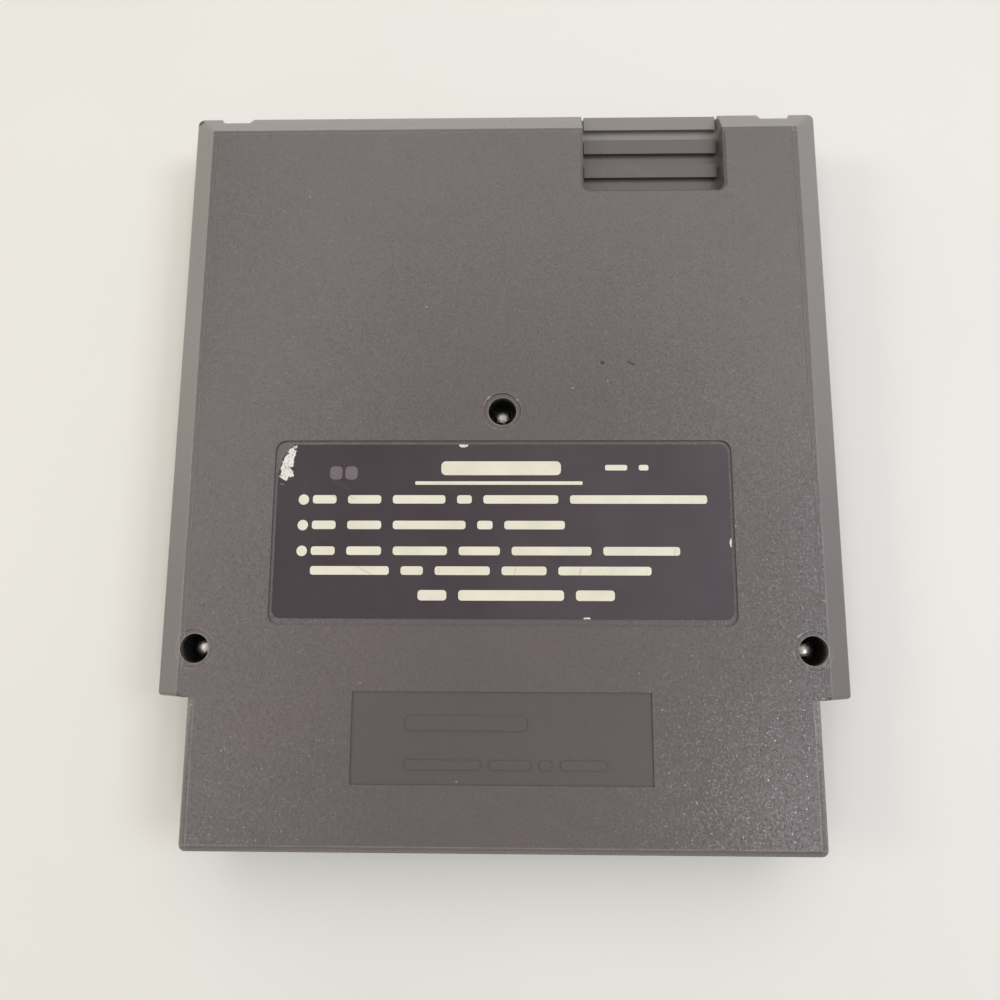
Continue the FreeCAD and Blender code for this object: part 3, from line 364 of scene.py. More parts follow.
def new_group(name, places, values, outputs):
    """An empty shader node group with named places, values and outputs, and its two end nodes."""
    tree = bpy.data.node_groups.new(name, "ShaderNodeTree")
    for label in places:
        tree.interface.new_socket(label, in_out="INPUT", socket_type="NodeSocketVector")
    for label, value in values.items():
        socket = tree.interface.new_socket(label, in_out="INPUT", socket_type="NodeSocketFloat")
        socket.default_value = value
    for label in outputs:
        kind = "NodeSocketVector" if label == "Normal" else "NodeSocketFloat"
        tree.interface.new_socket(label, in_out="OUTPUT", socket_type=kind)
    return tree, put(tree, "NodeGroupInput").outputs, put(tree, "NodeGroupOutput").inputs


def use(tree, name, **values):
    """Place a node group in a tree and give its outputs."""
    node = put(tree, "ShaderNodeGroup", node_tree=bpy.data.node_groups[name])
    for label, value in values.items():
        wire(tree, value, node.inputs[label])
    return node.outputs


def group_moulded_grain():
    """Rounded bumps of a spark-eroded mould, with the few that shine."""
    tree, given, result = new_group("moulded_grain", ["Vector"], {"Size": 0.0004}, ["Height", "Glint"])
    scale = calc(tree, "DIVIDE", 1.0, given["Size"])
    bumps = noise(tree, given["Vector"], scale, 2.0, 0.55)
    cells = cells_at(tree, given["Vector"], scale, "SMOOTH_F1")
    pits = calc(tree, "MULTIPLY", cells["Distance"], 0.35)
    tree.links.new(calc(tree, "SUBTRACT", bumps, pits), result["Height"])
    spots = noise(tree, given["Vector"], calc(tree, "MULTIPLY", scale, 0.9), 1.0, 0.5)
    tree.links.new(ramp(tree, spots, 0.60, 0.70), result["Glint"])


def group_tilted_facets():
    """Small flat facets of the grain, each leaning its own way, so that only a few catch a lamp."""
    tree, given, result = new_group("tilted_facets", ["Vector"], {"Size": 0.0004, "Lean": 0.3}, ["Normal"])
    scale = calc(tree, "DIVIDE", 1.0, given["Size"])
    cells = cells_at(tree, given["Vector"], scale, "F1")
    other = put(tree, "ShaderNodeTexWhiteNoise", {"Vector": cells["Position"]}).outputs["Color"]
    drawn = vector(tree, "SUBTRACT", cells["Color"], other)
    lean = put(tree, "ShaderNodeVectorMath", {0: drawn, "Scale": given["Lean"]}, operation="SCALE")
    facing = put(tree, "ShaderNodeNewGeometry").outputs["Normal"]
    turned = vector(tree, "ADD", facing, lean.outputs[0])
    tree.links.new(vector(tree, "NORMALIZE", turned), result["Normal"])


def group_cloud_tone():
    """Slow unevenness of a surface."""
    tree, given, result = new_group("cloud_tone", ["Vector"], {"Size": 0.03}, ["Tone"])
    scale = calc(tree, "DIVIDE", 1.0, given["Size"])
    tree.links.new(ramp(tree, noise(tree, given["Vector"], scale, 4.0, 0.6), 0.32, 0.68), result["Tone"])


def group_handling_wear():
    """Fine rubbed lines in two directions, in patches."""
    tree, given, result = new_group("handling_wear", ["Vector"], {"Size": 0.0004}, ["Mask"])
    scale = calc(tree, "DIVIDE", 1.0, given["Size"])
    along = noise(tree, stretch(tree, given["Vector"], (0.04, 1.0, 0.5), 0.5), scale, 1.0)
    across = noise(tree, stretch(tree, given["Vector"], (1.0, 0.05, 0.5), 0.22), scale, 1.0)
    lines = calc(tree, "MAXIMUM", ramp(tree, along, 0.66, 0.72), ramp(tree, across, 0.68, 0.74))
    patches = ramp(tree, noise(tree, given["Vector"], 55.0, 3.0), 0.46, 0.66)
    tree.links.new(calc(tree, "MULTIPLY", lines, patches), result["Mask"])


def group_pale_specks():
    """Scattered small specks of dust and bare plastic."""
    tree, given, result = new_group("pale_specks", ["Vector"], {"Spacing": 0.006}, ["Mask"])
    scale = calc(tree, "DIVIDE", 1.0, given["Spacing"])
    cells = cells_at(tree, given["Vector"], scale, "F1")
    dots = ramp(tree, cells["Distance"], 0.018, 0.032, 1.0, 0.0)
    draw = put(tree, "ShaderNodeSeparateColor", {0: cells["Color"]}).outputs["Red"]
    tree.links.new(calc(tree, "MULTIPLY", dots, calc(tree, "GREATER_THAN", draw, 0.55)), result["Mask"])


def group_ragged_mark():
    """One patch round a centre with a ragged edge. Vector is measured from the centre in patch radii."""
    tree, given, result = new_group("ragged_mark", ["Vector", "Place"], {"Rag": 0.5}, ["Mask"])
    even = calc(tree, "SUBTRACT", noise(tree, given["Place"], 1300.0, 4.0, 0.65), 0.5)
    edge = calc(tree, "MULTIPLY_ADD", even, given["Rag"], reach_of(tree, given["Vector"]))
    tree.links.new(ramp(tree, edge, 0.94, 1.04, 1.0, 0.0), result["Mask"])


def flat_reach(tree, place, centre):
    """Distance from an upright axis through a centre."""
    moved = vector(tree, "SUBTRACT", place, centre)
    return reach_of(tree, vector(tree, "MULTIPLY", moved, (1.0, 1.0, 0.0)))


def group_deep_round():
    """The inside of a round well: within a radius of an upright axis and below a height."""
    tree, given, result = new_group(
        "deep_round", ["Vector", "Centre"], {"Radius": 0.003, "Top": 0.016}, ["Mask"])
    reach = flat_reach(tree, given["Vector"], given["Centre"])
    inside = calc(tree, "LESS_THAN", reach, given["Radius"])
    height = axes_of(tree, given["Vector"])["Z"]
    depth = calc(tree, "SUBTRACT", given["Top"], height)
    tree.links.new(calc(tree, "MULTIPLY", inside, ramp(tree, depth, 0.0, 0.0014)), result["Mask"])


def thin_line(tree, axis, place, width):
    """A line across one axis at a place in millimetres."""
    away = calc(tree, "ABSOLUTE", calc(tree, "SUBTRACT", axis, place * MM))
    return calc(tree, "LESS_THAN", away, width)


def group_round_highlight():
    """A thin painted highlight circle round an upright axis, above a height and broken in places."""
    tree, given, result = new_group(
        "round_line", ["Vector", "Centre"], {"Radius": 0.003, "Width": 0.0001}, ["Mask"])
    reach = flat_reach(tree, given["Vector"], given["Centre"])
    away = calc(tree, "ABSOLUTE", calc(tree, "SUBTRACT", reach, given["Radius"]))
    line = calc(tree, "LESS_THAN", away, given["Width"])
    height = axes_of(tree, given["Vector"])["Z"]
    above = calc(tree, "GREATER_THAN", height, 16.2 * MM)
    broken = ramp(tree, noise(tree, given["Vector"], 420.0, 3.0), 0.38, 0.66, 0.25, 1.0)
    tree.links.new(calc(tree, "MULTIPLY", calc(tree, "MULTIPLY", line, above), broken), result["Mask"])


def group_edge_shine():
    """Painted highlight lines along the rim, the main face and the plug's eased edge, on the rear shell
    only.
    """
    tree, given, result = new_group("edge_shine", ["Vector"], {"Width": 0.0001}, ["Mask"])
    axes = axes_of(tree, given["Vector"])
    side = calc(tree, "ABSOLUTE", axes["X"])
    plug = calc(tree, "LESS_THAN", axes["Y"], SHOULDER * MM)
    lines = calc(tree, "MULTIPLY", plug, thin_line(tree, side, PLUG_SIDE, given["Width"]))
    for axis, places in ((side, (RIM_SIDE, FACE_SIDE)), (axes["Y"], (RIM_END, FACE_END, PLUG_END))):
        for place in places:
            lines = calc(tree, "MAXIMUM", lines, thin_line(tree, axis, place, given["Width"]))
    within = calc(tree, "MULTIPLY", calc(tree, "LESS_THAN", side, (RIM_SIDE + 0.2) * MM),
                  calc(tree, "LESS_THAN", axes["Y"], (RIM_END + 0.2) * MM))
    above = calc(tree, "MULTIPLY", within, calc(tree, "GREATER_THAN", axes["Z"], 16.3 * MM))
    broken = ramp(tree, noise(tree, given["Vector"], 260.0, 3.0), 0.30, 0.60, 0.35, 1.0)
    tree.links.new(calc(tree, "MULTIPLY", calc(tree, "MULTIPLY", lines, above), broken), result["Mask"])


def inside_box(tree, axes, spans):
    """The inside of a box, given on each axis by its middle and half width in millimetres."""
    within = None
    for axis, (middle, half) in zip(axes, spans):
        away = calc(tree, "ABSOLUTE", calc(tree, "SUBTRACT", axis, middle * MM))
        span = calc(tree, "LESS_THAN", away, half * MM)
        within = span if within is None else calc(tree, "MULTIPLY", within, span)
    return within


def group_smooth_rim():
    """The sloped rim with the sides, and the sunk plate with the recess, smoother than the main face."""
    tree, given, result = new_group("smooth_rim", ["Vector"], {}, ["Rim", "Sunk"])
    axes = axes_of(tree, given["Vector"])
    side = ramp(tree, calc(tree, "ABSOLUTE", axes["X"]), (RIM_SIDE - 0.1) * MM, (RIM_SIDE + 0.1) * MM)
    end = ramp(tree, axes["Y"], (RIM_END - 0.1) * MM, (RIM_END + 0.1) * MM)
    plate = inside_box(tree, axes, PLATE_BOX)
    recess = inside_box(tree, axes, RECESS_BOX)
    tree.links.new(calc(tree, "MAXIMUM", side, end), result["Rim"])
    tree.links.new(calc(tree, "MAXIMUM", plate, recess), result["Sunk"])


def build_groups():
    """Make each shared effect once."""
    for make in (group_moulded_grain, group_tilted_facets, group_cloud_tone, group_handling_wear,
                 group_pale_specks, group_ragged_mark, group_deep_round, group_round_highlight, group_edge_shine,
                 group_smooth_rim):
        make()


def new_finish(name):
    """A new material with its shader, its output and object coordinates."""
    material = bpy.data.materials.new(name)
    material.use_nodes = True
    tree = material.node_tree
    tree.nodes.clear()
    shader = put(tree, "ShaderNodeBsdfPrincipled")
    put(tree, "ShaderNodeOutputMaterial", {"Surface": shader.outputs["BSDF"]})
    return material, tree, shader.inputs, put(tree, "ShaderNodeTexCoord").outputs["Object"]


def bump(tree, height, distance, normal=None):
    """A normal that follows a height, on top of another normal if one is given."""
    node = put(tree, "ShaderNodeBump", {"Height": height, "Distance": distance})
    if normal is not None:
        tree.links.new(normal, node.inputs["Normal"])
    return node.outputs["Normal"]


def marks(tree, place, spots):
    """Ragged patches, each given by centre and half widths in millimetres, a turn and its raggedness."""
    total = None
    for x, y, z, across, along, turn, rag in spots:
        scale = (1 / (across * MM), 1 / (along * MM), 1 / (MARK_DEPTH * MM))
        near = stretch(tree, place, scale, math.radians(turn), (x * MM, y * MM, z * MM))
        mask = use(tree, "ragged_mark", Vector=near, Place=place, Rag=rag)["Mask"]
        total = mask if total is None else calc(tree, "MAXIMUM", total, mask)
    return total


def plug_edge(tree, place):
    """The eased edge round the plug, which is too fine for the solid."""
    axes = axes_of(tree, place)
    side = ramp(tree, calc(tree, "ABSOLUTE", axes["X"]), (PLUG_SIDE - 0.2) * MM, (PLUG_SIDE + 1.2) * MM)
    end = ramp(tree, axes["Y"], (PLUG_END + 0.1) * MM, (PLUG_END - 1.1) * MM)
    below = calc(tree, "LESS_THAN", axes["Y"], SHOULDER * MM)
    above = calc(tree, "GREATER_THAN", axes["Z"], 16.9 * MM)
    return calc(tree, "MULTIPLY", calc(tree, "MAXIMUM", side, end), calc(tree, "MULTIPLY", below, above))


def dress(nodes, material):
    """Give CAD nodes a material in place of the plain one that they came with."""
    for name in nodes:
        NODES[name].data.materials.clear()
        NODES[name].data.materials.append(material)


def moulded_plastic(name, look):
    """Grey plastic with a spark-eroded grain, slow clouds, rubbing and specks, painted light on the rim, a
    painted highlight on the plug's eased edge, a darker sunk plate and painted shade in the finger recess.
    """
    material, tree, shader, place = new_finish(name)
    grain = use(tree, "moulded_grain", Vector=place, Size=look.grain_size)
    tone = use(tree, "cloud_tone", Vector=place, Size=0.028)["Tone"]
    wear = use(tree, "handling_wear", Vector=place, Size=0.0009)["Mask"]
    specks = use(tree, "pale_specks", Vector=place, Spacing=0.007)["Mask"]
    colour = tint(tree, tone, look.shade, look.colour)
    hollow = ramp(tree, grain["Height"], 0.18, 0.62)
    colour = tint(tree, calc(tree, "MULTIPLY_ADD", hollow, -0.08, 0.08), colour, look.grime_and_shade)
    colour = tint(tree, calc(tree, "MULTIPLY", wear, 0.035), colour, look.speck)
    colour = tint(tree, calc(tree, "MULTIPLY", specks, 0.65), colour, look.speck)
    smooth = use(tree, "smooth_rim", Vector=place)
    # Painted light: the sloped rim painted paler, rising from the shoulder to the top end, where the light
    # falls on it
    rim_light = ramp(tree, axes_of(tree, place)["Y"], -35.0 * MM, 60.0 * MM, look.near_rim_light, look.far_rim_light)
    colour = tint(tree, calc(tree, "MULTIPLY", smooth["Rim"], rim_light), colour, look.speck)
    edge = plug_edge(tree, place)
    # Painted highlight: the plug's eased edge painted paler, where it catches the light
    colour = tint(tree, calc(tree, "MULTIPLY", edge, look.plug_highlight), colour, look.speck)
    # The sunk plate made darker, and painted shade laid in the finger recess
    colour = tint(tree, calc(tree, "MULTIPLY", smooth["Sunk"], look.sunk_darkening), colour, look.grime_and_shade)
    rough = calc(tree, "SUBTRACT", 1.0, calc(tree, "MAXIMUM", smooth["Rim"], smooth["Sunk"]))
    shining = calc(tree, "MULTIPLY", grain["Glint"], rough)
    gloss = calc(tree, "MULTIPLY_ADD", shining, -look.glint, look.roughness)
    wire(tree, calc(tree, "MULTIPLY_ADD", wear, -0.03, gloss), shader["Roughness"])
    height = calc(tree, "MULTIPLY", grain["Height"], calc(tree, "MULTIPLY_ADD", rough, 0.85, 0.15))
    lean = calc(tree, "MULTIPLY", rough, look.facet_lean)
    facets = use(tree, "tilted_facets", Vector=place, Size=look.facet_size, Lean=lean)["Normal"]
    grained = bump(tree, height, look.grain_depth, facets)
    wire(tree, bump(tree, calc(tree, "SUBTRACT", 1.0, edge), look.plug_ease, grained), shader["Normal"])
    shader["Specular IOR Level"].default_value = 0.5
    return material, tree, shader, place, colour


def front_plastic(look):
    """Plastic of the front shell."""
    material, tree, shader, place, colour = moulded_plastic("front_shell_plastic", look)
    wire(tree, colour, shader["Base Color"])
    return material


def rear_plastic(look):
    """Plastic of the rear shell, with painted shade in its wells, painted highlight lines and rings, scuffs
    and small marks.
    """
    material, tree, shader, place, colour = moulded_plastic("rear_shell_plastic", look)
    wells = None
    for x, y in SCREW_PLACES:
        well = use(tree, "deep_round", Vector=place, Centre=(x * MM, y * MM, 0.0), Radius=WELL_REACH * MM,
                   Top=WELL_TOP * MM)
        wells = well["Mask"] if wells is None else calc(tree, "MAXIMUM", wells, well["Mask"])
    # Painted shade: the wells darkened almost to black, where shade falls inside them
    colour = tint(tree, calc(tree, "MULTIPLY", wells, look.well_shade), colour, look.grime_and_shade)
    dark = marks(tree, place, DARK_MARKS)
    colour = tint(tree, calc(tree, "MULTIPLY", dark, 0.85), colour, look.mark)
    # Painted highlights: thin pale lines along the rim, main face and plug edges and rings round the wells,
    # where rounded edges catch the light; the real scuffs join them below
    shine = use(tree, "edge_shine", Vector=place, Width=LINE_WIDTH * MM)["Mask"]
    for x, y in SCREW_PLACES:
        for radius in WELL_HIGHLIGHT_RINGS:
            ring = use(tree, "round_line", Vector=place, Centre=(x * MM, y * MM, 0.0), Radius=radius * MM,
                       Width=LINE_WIDTH * MM)
            shine = calc(tree, "MAXIMUM", shine, ring["Mask"])
    scuffs = marks(tree, place, SCUFFS)
    shine = calc(tree, "MAXIMUM", shine, calc(tree, "MULTIPLY", scuffs, 2.4))
    colour = tint(tree, calc(tree, "MULTIPLY", shine, look.highlight_and_scuff), colour, look.speck)
    wire(tree, colour, shader["Base Color"])
    return material


def sticker_finish(look):
    """Dark satin sticker, rubbed and scratched, torn at one corner and chipped at its edges."""
    material, tree, shader, place = new_finish("sticker_ground")
    tone = use(tree, "cloud_tone", Vector=place, Size=0.022)["Tone"]
    wear = use(tree, "handling_wear", Vector=place, Size=0.0006)["Mask"]
    specks = use(tree, "pale_specks", Vector=place, Spacing=0.005)["Mask"]
    fibre = noise(tree, place, 2600.0, 3.0, 0.6)
    # The sticker's ground is made lighter toward the right
    lighter_to_right = ramp(tree, axes_of(tree, place)["X"], -40.0 * MM, 14.0 * MM, 0.0, 0.42)
    colour = tint(tree, calc(tree, "MULTIPLY_ADD", tone, 0.20, lighter_to_right), look.colour, look.rubbed)
    colour = tint(tree, calc(tree, "MULTIPLY", wear, 0.35), colour, look.rubbed)
    colour = tint(tree, calc(tree, "MULTIPLY", specks, 0.25), colour, look.paper)
    torn = marks(tree, place, TEARS)
    soiled = calc(tree, "MULTIPLY", ramp(tree, fibre, 0.46, 0.66), 0.45)
    colour = tint(tree, torn, colour, tint(tree, soiled, look.paper, look.rubbed))
    wire(tree, colour, shader["Base Color"])
    gloss = calc(tree, "MULTIPLY_ADD", tone, 0.08, 0.34)
    gloss = calc(tree, "MULTIPLY_ADD", torn, 0.40, gloss)
    wire(tree, gloss, shader["Roughness"])
    height = calc(tree, "MULTIPLY_ADD", torn, -1.2, fibre)
    wire(tree, bump(tree, height, 0.006 * MM), shader["Normal"])
    shader["Specular IOR Level"].default_value = 0.45
    return material


def ink_finish(name, look, ink):
    """Ink, a little worn."""
    material, tree, shader, place = new_finish(name)
    tone = use(tree, "cloud_tone", Vector=place, Size=0.006)["Tone"]
    wear = use(tree, "handling_wear", Vector=place, Size=0.0007)["Mask"]
    colour = tint(tree, calc(tree, "MULTIPLY", tone, 0.10), ink, look.rubbed)
    colour = tint(tree, calc(tree, "MULTIPLY", wear, 0.35), colour, look.rubbed)
    wire(tree, colour, shader["Base Color"])
    wire(tree, calc(tree, "MULTIPLY_ADD", tone, 0.10, 0.45), shader["Roughness"])
    return material


def steel_finish(look, low, high):
    """Plated steel, bright on the crown and painted darker lower down as shade in the well."""
    material, tree, shader, place = new_finish("screw_plated_steel")
    tone = use(tree, "cloud_tone", Vector=place, Size=0.0012)["Tone"]
    # Painted shade: the steel darkens from the crown down toward the flange
    unshaded = ramp(tree, axes_of(tree, place)["Z"], low, high)
    spotted = calc(tree, "MULTIPLY", unshaded, calc(tree, "MULTIPLY_ADD", tone, 0.35, 0.65))
    wire(tree, tint(tree, spotted, look.shaded_steel, look.steel), shader["Base Color"])
    wire(tree, calc(tree, "MULTIPLY_ADD", tone, -0.10, 0.42), shader["Roughness"])
    wire(tree, bump(tree, noise(tree, place, 4200.0), 0.004 * MM), shader["Normal"])
    shader["Metallic"].default_value = 1.0
    return material


def laminate_finish(look):
    """Green coated board with the tracks showing through."""
    material, tree, shader, place = new_finish("board_laminate")
    bands = put(tree, "ShaderNodeTexBrick", {
        "Vector": place, "Scale": 90.0, "Mortar Size": 0.055, "Mortar Smooth": 0.1, "Bias": 0.0,
        "Brick Width": 1.35, "Row Height": 0.115,
    }, offset=0.37, offset_frequency=3)
    weave = noise(tree, place, 1500.0, 2.0)
    tone = use(tree, "cloud_tone", Vector=place, Size=0.012)["Tone"]
    routed = calc(tree, "MULTIPLY", bands.outputs["Fac"], tone)
    wire(tree, tint(tree, routed, look.track, look.laminate), shader["Base Color"])
    wire(tree, calc(tree, "MULTIPLY_ADD", weave, 0.16, 0.24), shader["Roughness"])
    height = calc(tree, "MULTIPLY_ADD", routed, -0.6, weave)
    wire(tree, bump(tree, height, 0.015 * MM), shader["Normal"])
    return material


def gold_finish(look):
    """Gold contacts with wiping lines along them."""
    material, tree, shader, place = new_finish("contact_gold")
    lines = noise(tree, stretch(tree, place, (1.0, 0.03, 1.0)), 9000.0, 1.0)
    tone = use(tree, "cloud_tone", Vector=place, Size=0.003)["Tone"]
    worn = ramp(tree, lines, 0.52, 0.70)
    wire(tree, tint(tree, calc(tree, "MULTIPLY", worn, 0.35), look.gold, look.tin), shader["Base Color"])
    wire(tree, calc(tree, "MULTIPLY_ADD", tone, 0.10, 0.36), shader["Roughness"])
    wire(tree, bump(tree, lines, 0.0006 * MM), shader["Normal"])
    shader["Metallic"].default_value = 0.85
    return material


def part_finish(name, first, second, size, gloss, metal, coat):
    """Finish of a small part on the board: clouded colour and a fine grain."""
    material, tree, shader, place = new_finish(name)
    grain = use(tree, "moulded_grain", Vector=place, Size=size)
    tone = use(tree, "cloud_tone", Vector=place, Size=size * 8)["Tone"]
    wire(tree, tint(tree, tone, first, second), shader["Base Color"])
    wire(tree, calc(tree, "MULTIPLY_ADD", grain["Glint"], -0.10, gloss), shader["Roughness"])
    wire(tree, bump(tree, grain["Height"], size * 0.05), shader["Normal"])
    shader["Metallic"].default_value = metal
    shader["Coat Weight"].default_value = coat
    return material


def lighter(colour, gain):
    """A colour made lighter or darker."""
    return tuple(min(1.0, part * gain) for part in colour)


def new_piece(name, shape, material):
    """Turn a finished bmesh into an object that moves with the cartridge."""
    mesh = bpy.data.meshes.new(name)
    shape.to_mesh(mesh)
    shape.free()
    mesh.materials.append(material)
    piece = bpy.data.objects.new(name, mesh)
    bpy.context.scene.collection.objects.link(piece)
    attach(piece, "root")
    return piece


def add_rows(shape, rows, gap, low, high):
    """Rows of bars, each row given in millimetres."""
    for left, middle, thickness, lengths in rows:
        start = left * MM
        for length in lengths:
            add_bar(shape, start, middle * MM, length * MM, thickness * MM, low, high)
            start += length * MM + gap


def add_bar(shape, left, middle, length, thickness, low, high):
    """A flat bar of ink with rounded ends."""
    made = bmesh.ops.create_cube(shape, size=1.0)["verts"]
    bmesh.ops.scale(shape, vec=(length, thickness, high - low), verts=made)
    bmesh.ops.translate(shape, vec=(left + length / 2, middle, (low + high) / 2), verts=made)
    edges = {edge for vert in made for edge in vert.link_edges}
    upright = [edge for edge in edges if abs(edge.verts[0].co.z - edge.verts[1].co.z) > (high - low) / 2]
    bmesh.ops.bevel(shape, geom=upright, offset=thickness * 0.32, offset_type="OFFSET", affect="EDGES",
                    segments=4, profile=0.5, material=-1)


def add_screw(shape, look, floor, top, low):
    """A turned screw with a flange, six flutes in its head and a rounded crown, standing on the origin."""
    rise = top - floor
    profile = (
        (0.0, low - floor), (look.shank, low - floor), (look.shank, 0.0), (look.flange, 0.0),
        (look.flange, rise * 0.20), (look.flange * 0.95, rise * 0.24), (look.head, rise * 0.25),
        (look.head, rise * 0.70), (look.head * 0.88, rise * 0.84), (look.crown, rise * 0.94),
        (look.crown * 0.55, rise * 0.985), (0.0, rise),
    )
    points = [shape.verts.new((radius, 0.0, height)) for radius, height in profile]
    sides = [shape.edges.new(pair) for pair in zip(points, points[1:])]
    bmesh.ops.spin(shape, geom=points + sides, cent=(0, 0, 0), axis=(0, 0, 1), angle=math.tau,
                   steps=SCREW_STEPS, use_merge=True)
    bmesh.ops.remove_doubles(shape, verts=shape.verts, dist=0.001 * MM)
    bmesh.ops.recalc_face_normals(shape, faces=shape.faces)
    for away, share in enumerate(FLUTE_SHARES):
        fluted = [vert for vert in shape.verts if vert.co.z > rise * 0.245 and in_flute(vert, look, away)]
        bmesh.ops.scale(shape, vec=(share, share, 1.0), verts=fluted)


def in_flute(vert, look, away):
    """Whether a point of the head's side lies so many steps from the middle of a flute."""
    if vert.co.xy.length < look.crown * 1.02:
        return False
    apart = SCREW_STEPS // FLUTES
    step = round(math.atan2(vert.co.y, vert.co.x) / math.tau * SCREW_STEPS) % apart
    return min(step, apart - step) == away


class CARTRIDGE_OT_shells(bpy.types.Operator):
    """Give both shells their grained plastic"""
    bl_idname = "cartridge.shells"
    bl_label = "Finish Shells"

    def execute(self, context):
        look = context.scene.cartridge_shell
        dress(["front_shell"], front_plastic(look))
        dress(["rear_shell"], rear_plastic(look))
        return {"FINISHED"}


class CARTRIDGE_OT_sticker(bpy.types.Operator):
    """Finish the sticker and print plain bars, dots and a rule on it"""
    bl_idname = "cartridge.sticker"
    bl_label = "Print Sticker"

    def execute(self, context):
        look = context.scene.cartridge_sticker
        dress(["rear_label"], sticker_finish(look))
        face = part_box("rear_label")[1].z
        shape = bmesh.new()
        add_rows(shape, PRINT_ROWS, look.word_gap, face, face + look.ink_height)
        for x, y in PRINT_DOTS:
            place = Matrix.Translation((x * MM, y * MM, face + look.ink_height / 2))
            bmesh.ops.create_cone(shape, cap_ends=True, segments=32, radius1=look.dot_size / 2,
                                  radius2=look.dot_size / 2, depth=look.ink_height, matrix=place)
        new_piece("sticker_print", shape, ink_finish("sticker_ink", look, look.print_colour))
        stamp = bmesh.new()
        add_rows(stamp, STAMP_ROWS, look.stamp_gap, face, face + look.ink_height)
        new_piece("sticker_stamp", stamp, ink_finish("stamp_ink", look, look.stamp_colour))
        return {"FINISHED"}


class CARTRIDGE_OT_relief(bpy.types.Operator):
    """Raise plain bars on the sunk plate of the rear shell"""
    bl_idname = "cartridge.relief"
    bl_label = "Raise Plate Bars"

    def execute(self, context):
        look = context.scene.cartridge_sticker
        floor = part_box("rear_shell")[1].z - PLATE_DEPTH * MM
        shape = bmesh.new()
        add_rows(shape, PLATE_ROWS, look.relief_gap, floor - 0.05 * MM, floor + look.relief_height)
        plastic = NODES["rear_shell"].data.materials[0]
        new_piece("plate_relief", shape, plastic)
        return {"FINISHED"}


class CARTRIDGE_OT_screws(bpy.types.Operator):
    """Replace the plain screws by fluted ones"""
    bl_idname = "cartridge.screws"
    bl_label = "Make Screws"

    def execute(self, context):
        look = context.scene.cartridge_screw
        low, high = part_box("case_screws")
        floor = SCREW_SEAT * MM
        shape = bmesh.new()
        for (x, y), turn in zip(SCREW_PLACES, SCREW_TURNS):
            single = bmesh.new()
            add_screw(single, look, floor, high.z, low.z)
            move = Matrix.Translation((x * MM, y * MM, floor)) @ Matrix.Rotation(math.radians(turn), 4, "Z")
            bmesh.ops.transform(single, matrix=move, verts=single.verts)
            mesh = bpy.data.meshes.new("screw_copy")
            single.to_mesh(mesh)
            single.free()
            shape.from_mesh(mesh)
            bpy.data.meshes.remove(mesh)
        steel = steel_finish(look, floor + 1.6 * MM, high.z - 0.15 * MM)
        piece = new_piece("fluted_screws", shape, steel)
        piece.data.shade_smooth()
        piece.data.set_sharp_from_angle(angle=math.radians(38))
        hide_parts("case_screws")
        return {"FINISHED"}


class CARTRIDGE_OT_board(bpy.types.Operator):
    """Finish the circuit board and everything soldered to it"""
    bl_idname = "cartridge.board"
    bl_label = "Finish Board"

    def execute(self, context):
        look = context.scene.cartridge_board
        dress(["circuit_board"], laminate_finish(look))
        dress(["edge_contacts"], gold_finish(look))
        for name, nodes, setting, gain, grain, gloss in PART_FINISHES:
            colour = getattr(look, setting)
            metal = 1.0 if name in BARE_METALS else 0.0
            coat = COATS.get(name, 0.0)
            dress(nodes, part_finish(name, colour, lighter(colour, gain), grain, gloss, metal, coat))
        return {"FINISHED"}


class CARTRIDGE_OT_stage(bpy.types.Operator):
    """Lay the floor and set the lamps and the camera"""
    bl_idname = "cartridge.stage"
    bl_label = "Set Stage"

    def execute(self, context):
        look = context.scene.cartridge_stage
        lay_floor(look)
        light_sky(context.scene, look)
        for name, place, size, setting, share, colour in LAMPS:
            add_lamp(name, place, size, getattr(look, setting) * share, colour)
        add_camera(context.scene, look)
        context.scene.view_settings.view_transform = "Standard"
        return {"FINISHED"}


def lay_floor(look):
    """A pale floor just under the cartridge, faintly uneven."""
    material, tree, shader, place = new_finish("pale_floor")
    tone = use(tree, "cloud_tone", Vector=place, Size=0.09)["Tone"]
    wire(tree, tint(tree, tone, lighter(look.floor_colour, 0.975), look.floor_colour), shader["Base Color"])
    wire(tree, calc(tree, "MULTIPLY_ADD", tone, 0.10, 0.45), shader["Roughness"])
    shape = bmesh.new()
    bmesh.ops.create_grid(shape, x_segments=1, y_segments=1, size=look.floor_width / 2)
    bmesh.ops.translate(shape, vec=(0, 0, CAD_BOX[0].z - look.floor_drop), verts=shape.verts)
    mesh = bpy.data.meshes.new("floor")
    shape.to_mesh(mesh)
    shape.free()
    mesh.materials.append(material)
    floor = bpy.data.objects.new("floor", mesh)
    bpy.context.scene.collection.objects.link(floor)


def light_sky(scene, look):
    """Light from all round, brighter past the top end than past the plug end."""
    world = bpy.data.worlds.new("room_light")
    world.use_nodes = True
    tree = world.node_tree
    sky = tree.nodes["Background"].inputs
    sky["Color"].default_value = SKY_COLOUR
    along = axes_of(tree, put(tree, "ShaderNodeTexCoord").outputs["Generated"])["Y"]
    wire(tree, ramp(tree, along, -0.25, 0.55, look.near_light, look.far_light), sky["Strength"])
    scene.world = world


def add_lamp(name, place, size, power, colour):
    """A flat lamp that points at the cartridge."""
    lamp = bpy.data.lights.new(name, "AREA")
    lamp.shape = "RECTANGLE"
    lamp.size, lamp.size_y = size
    lamp.energy = power
    lamp.color = colour
    holder = bpy.data.objects.new(name, lamp)
    holder.location = place
    holder.rotation_euler = (-Vector(place)).to_track_quat("-Z", "Y").to_euler()
    bpy.context.scene.collection.objects.link(holder)


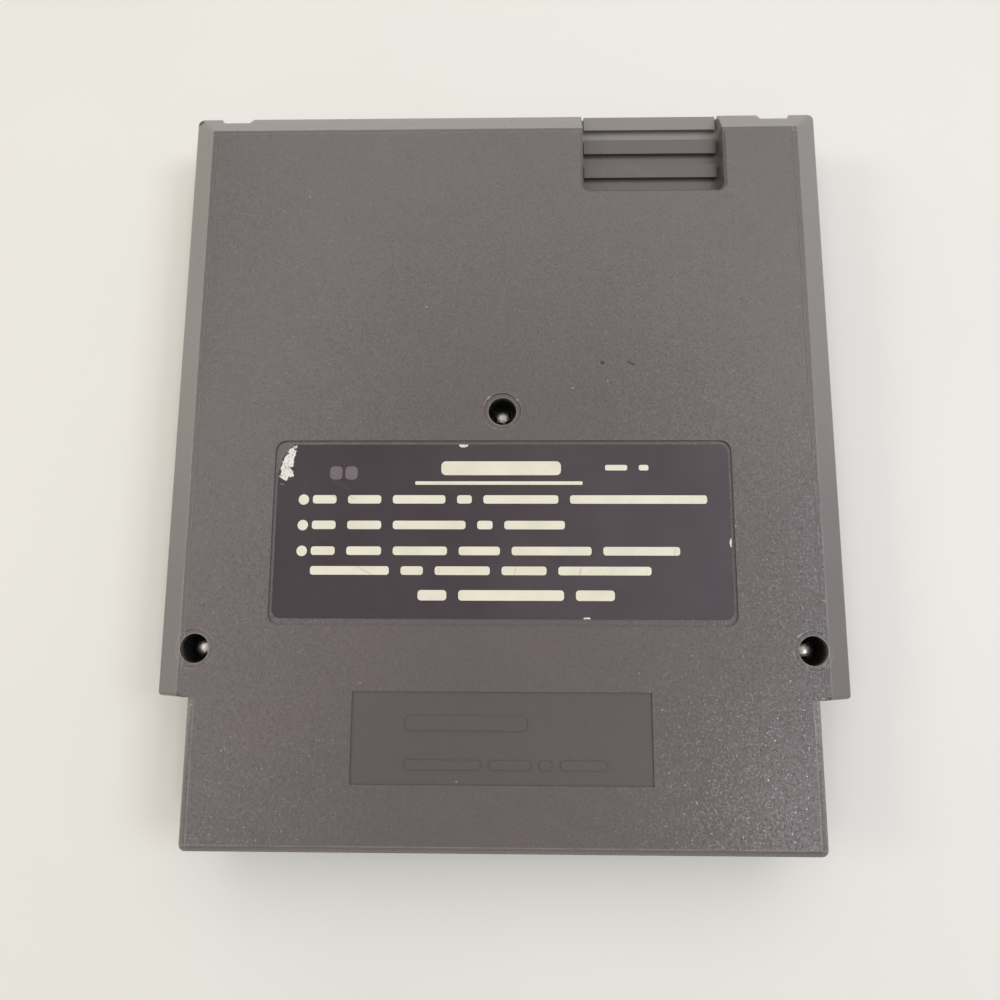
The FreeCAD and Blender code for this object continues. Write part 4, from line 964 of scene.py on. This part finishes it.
def add_camera(scene, look):
    """A camera at the photograph's place, for a square picture."""
    lens = bpy.data.cameras.new("photo_camera")
    lens.sensor_width = 36.0
    lens.lens = lens.sensor_width * look.view_pixels
    lens.clip_start = 0.01
    camera = bpy.data.objects.new("photo_camera", lens)
    about_x, about_y, about_z = look.tilt
    view = (Matrix.Rotation(about_z, 3, "Z") @ Matrix.Rotation(about_x, 3, "X")
            @ Matrix.Rotation(about_y, 3, "Y"))
    camera.matrix_world = Matrix.Translation(look.eye) @ view.transposed().to_4x4()
    scene.collection.objects.link(camera)
    scene.camera = camera


STEPS = (CARTRIDGE_OT_shells, CARTRIDGE_OT_sticker, CARTRIDGE_OT_relief, CARTRIDGE_OT_screws,
         CARTRIDGE_OT_board, CARTRIDGE_OT_stage)
LOOKS = {
    "cartridge_shell": CartridgeShellLook,
    "cartridge_sticker": CartridgeStickerLook,
    "cartridge_screw": CartridgeScrewLook,
    "cartridge_board": CartridgeBoardLook,
    "cartridge_stage": CartridgeStageLook,
}


class CARTRIDGE_PT_dressing(bpy.types.Panel):
    """Steps that dress the cartridge, with the sizes and colours that they use"""
    bl_idname = "CARTRIDGE_PT_dressing"
    bl_label = "Cartridge"
    bl_space_type = "VIEW_3D"
    bl_region_type = "UI"
    bl_category = "Cartridge"

    def draw(self, context):
        for step in STEPS:
            self.layout.operator(step.bl_idname)
        for name, look in LOOKS.items():
            box = self.layout.box()
            box.label(text=look.__doc__)
            for field in look.__annotations__:
                box.prop(getattr(context.scene, name), field)


def register():
    """Make the looks, steps and panel known."""
    for name, look in LOOKS.items():
        bpy.utils.register_class(look)
        setattr(bpy.types.Scene, name, bpy.props.PointerProperty(type=look))
    for step in STEPS:
        bpy.utils.register_class(step)
    bpy.utils.register_class(CARTRIDGE_PT_dressing)


def unregister():
    """Take the looks, steps and panel away again."""
    bpy.utils.unregister_class(CARTRIDGE_PT_dressing)
    for step in reversed(STEPS):
        bpy.utils.unregister_class(step)
    for name, look in reversed(LOOKS.items()):
        delattr(bpy.types.Scene, name)
        bpy.utils.unregister_class(look)


def main():
    """Dress the cartridge."""
    register()
    build_groups()
    bpy.ops.cartridge.shells()
    bpy.ops.cartridge.sticker()
    bpy.ops.cartridge.relief()
    bpy.ops.cartridge.screws()
    bpy.ops.cartridge.board()
    bpy.ops.cartridge.stage()


if __name__ == "__main__":
    main()
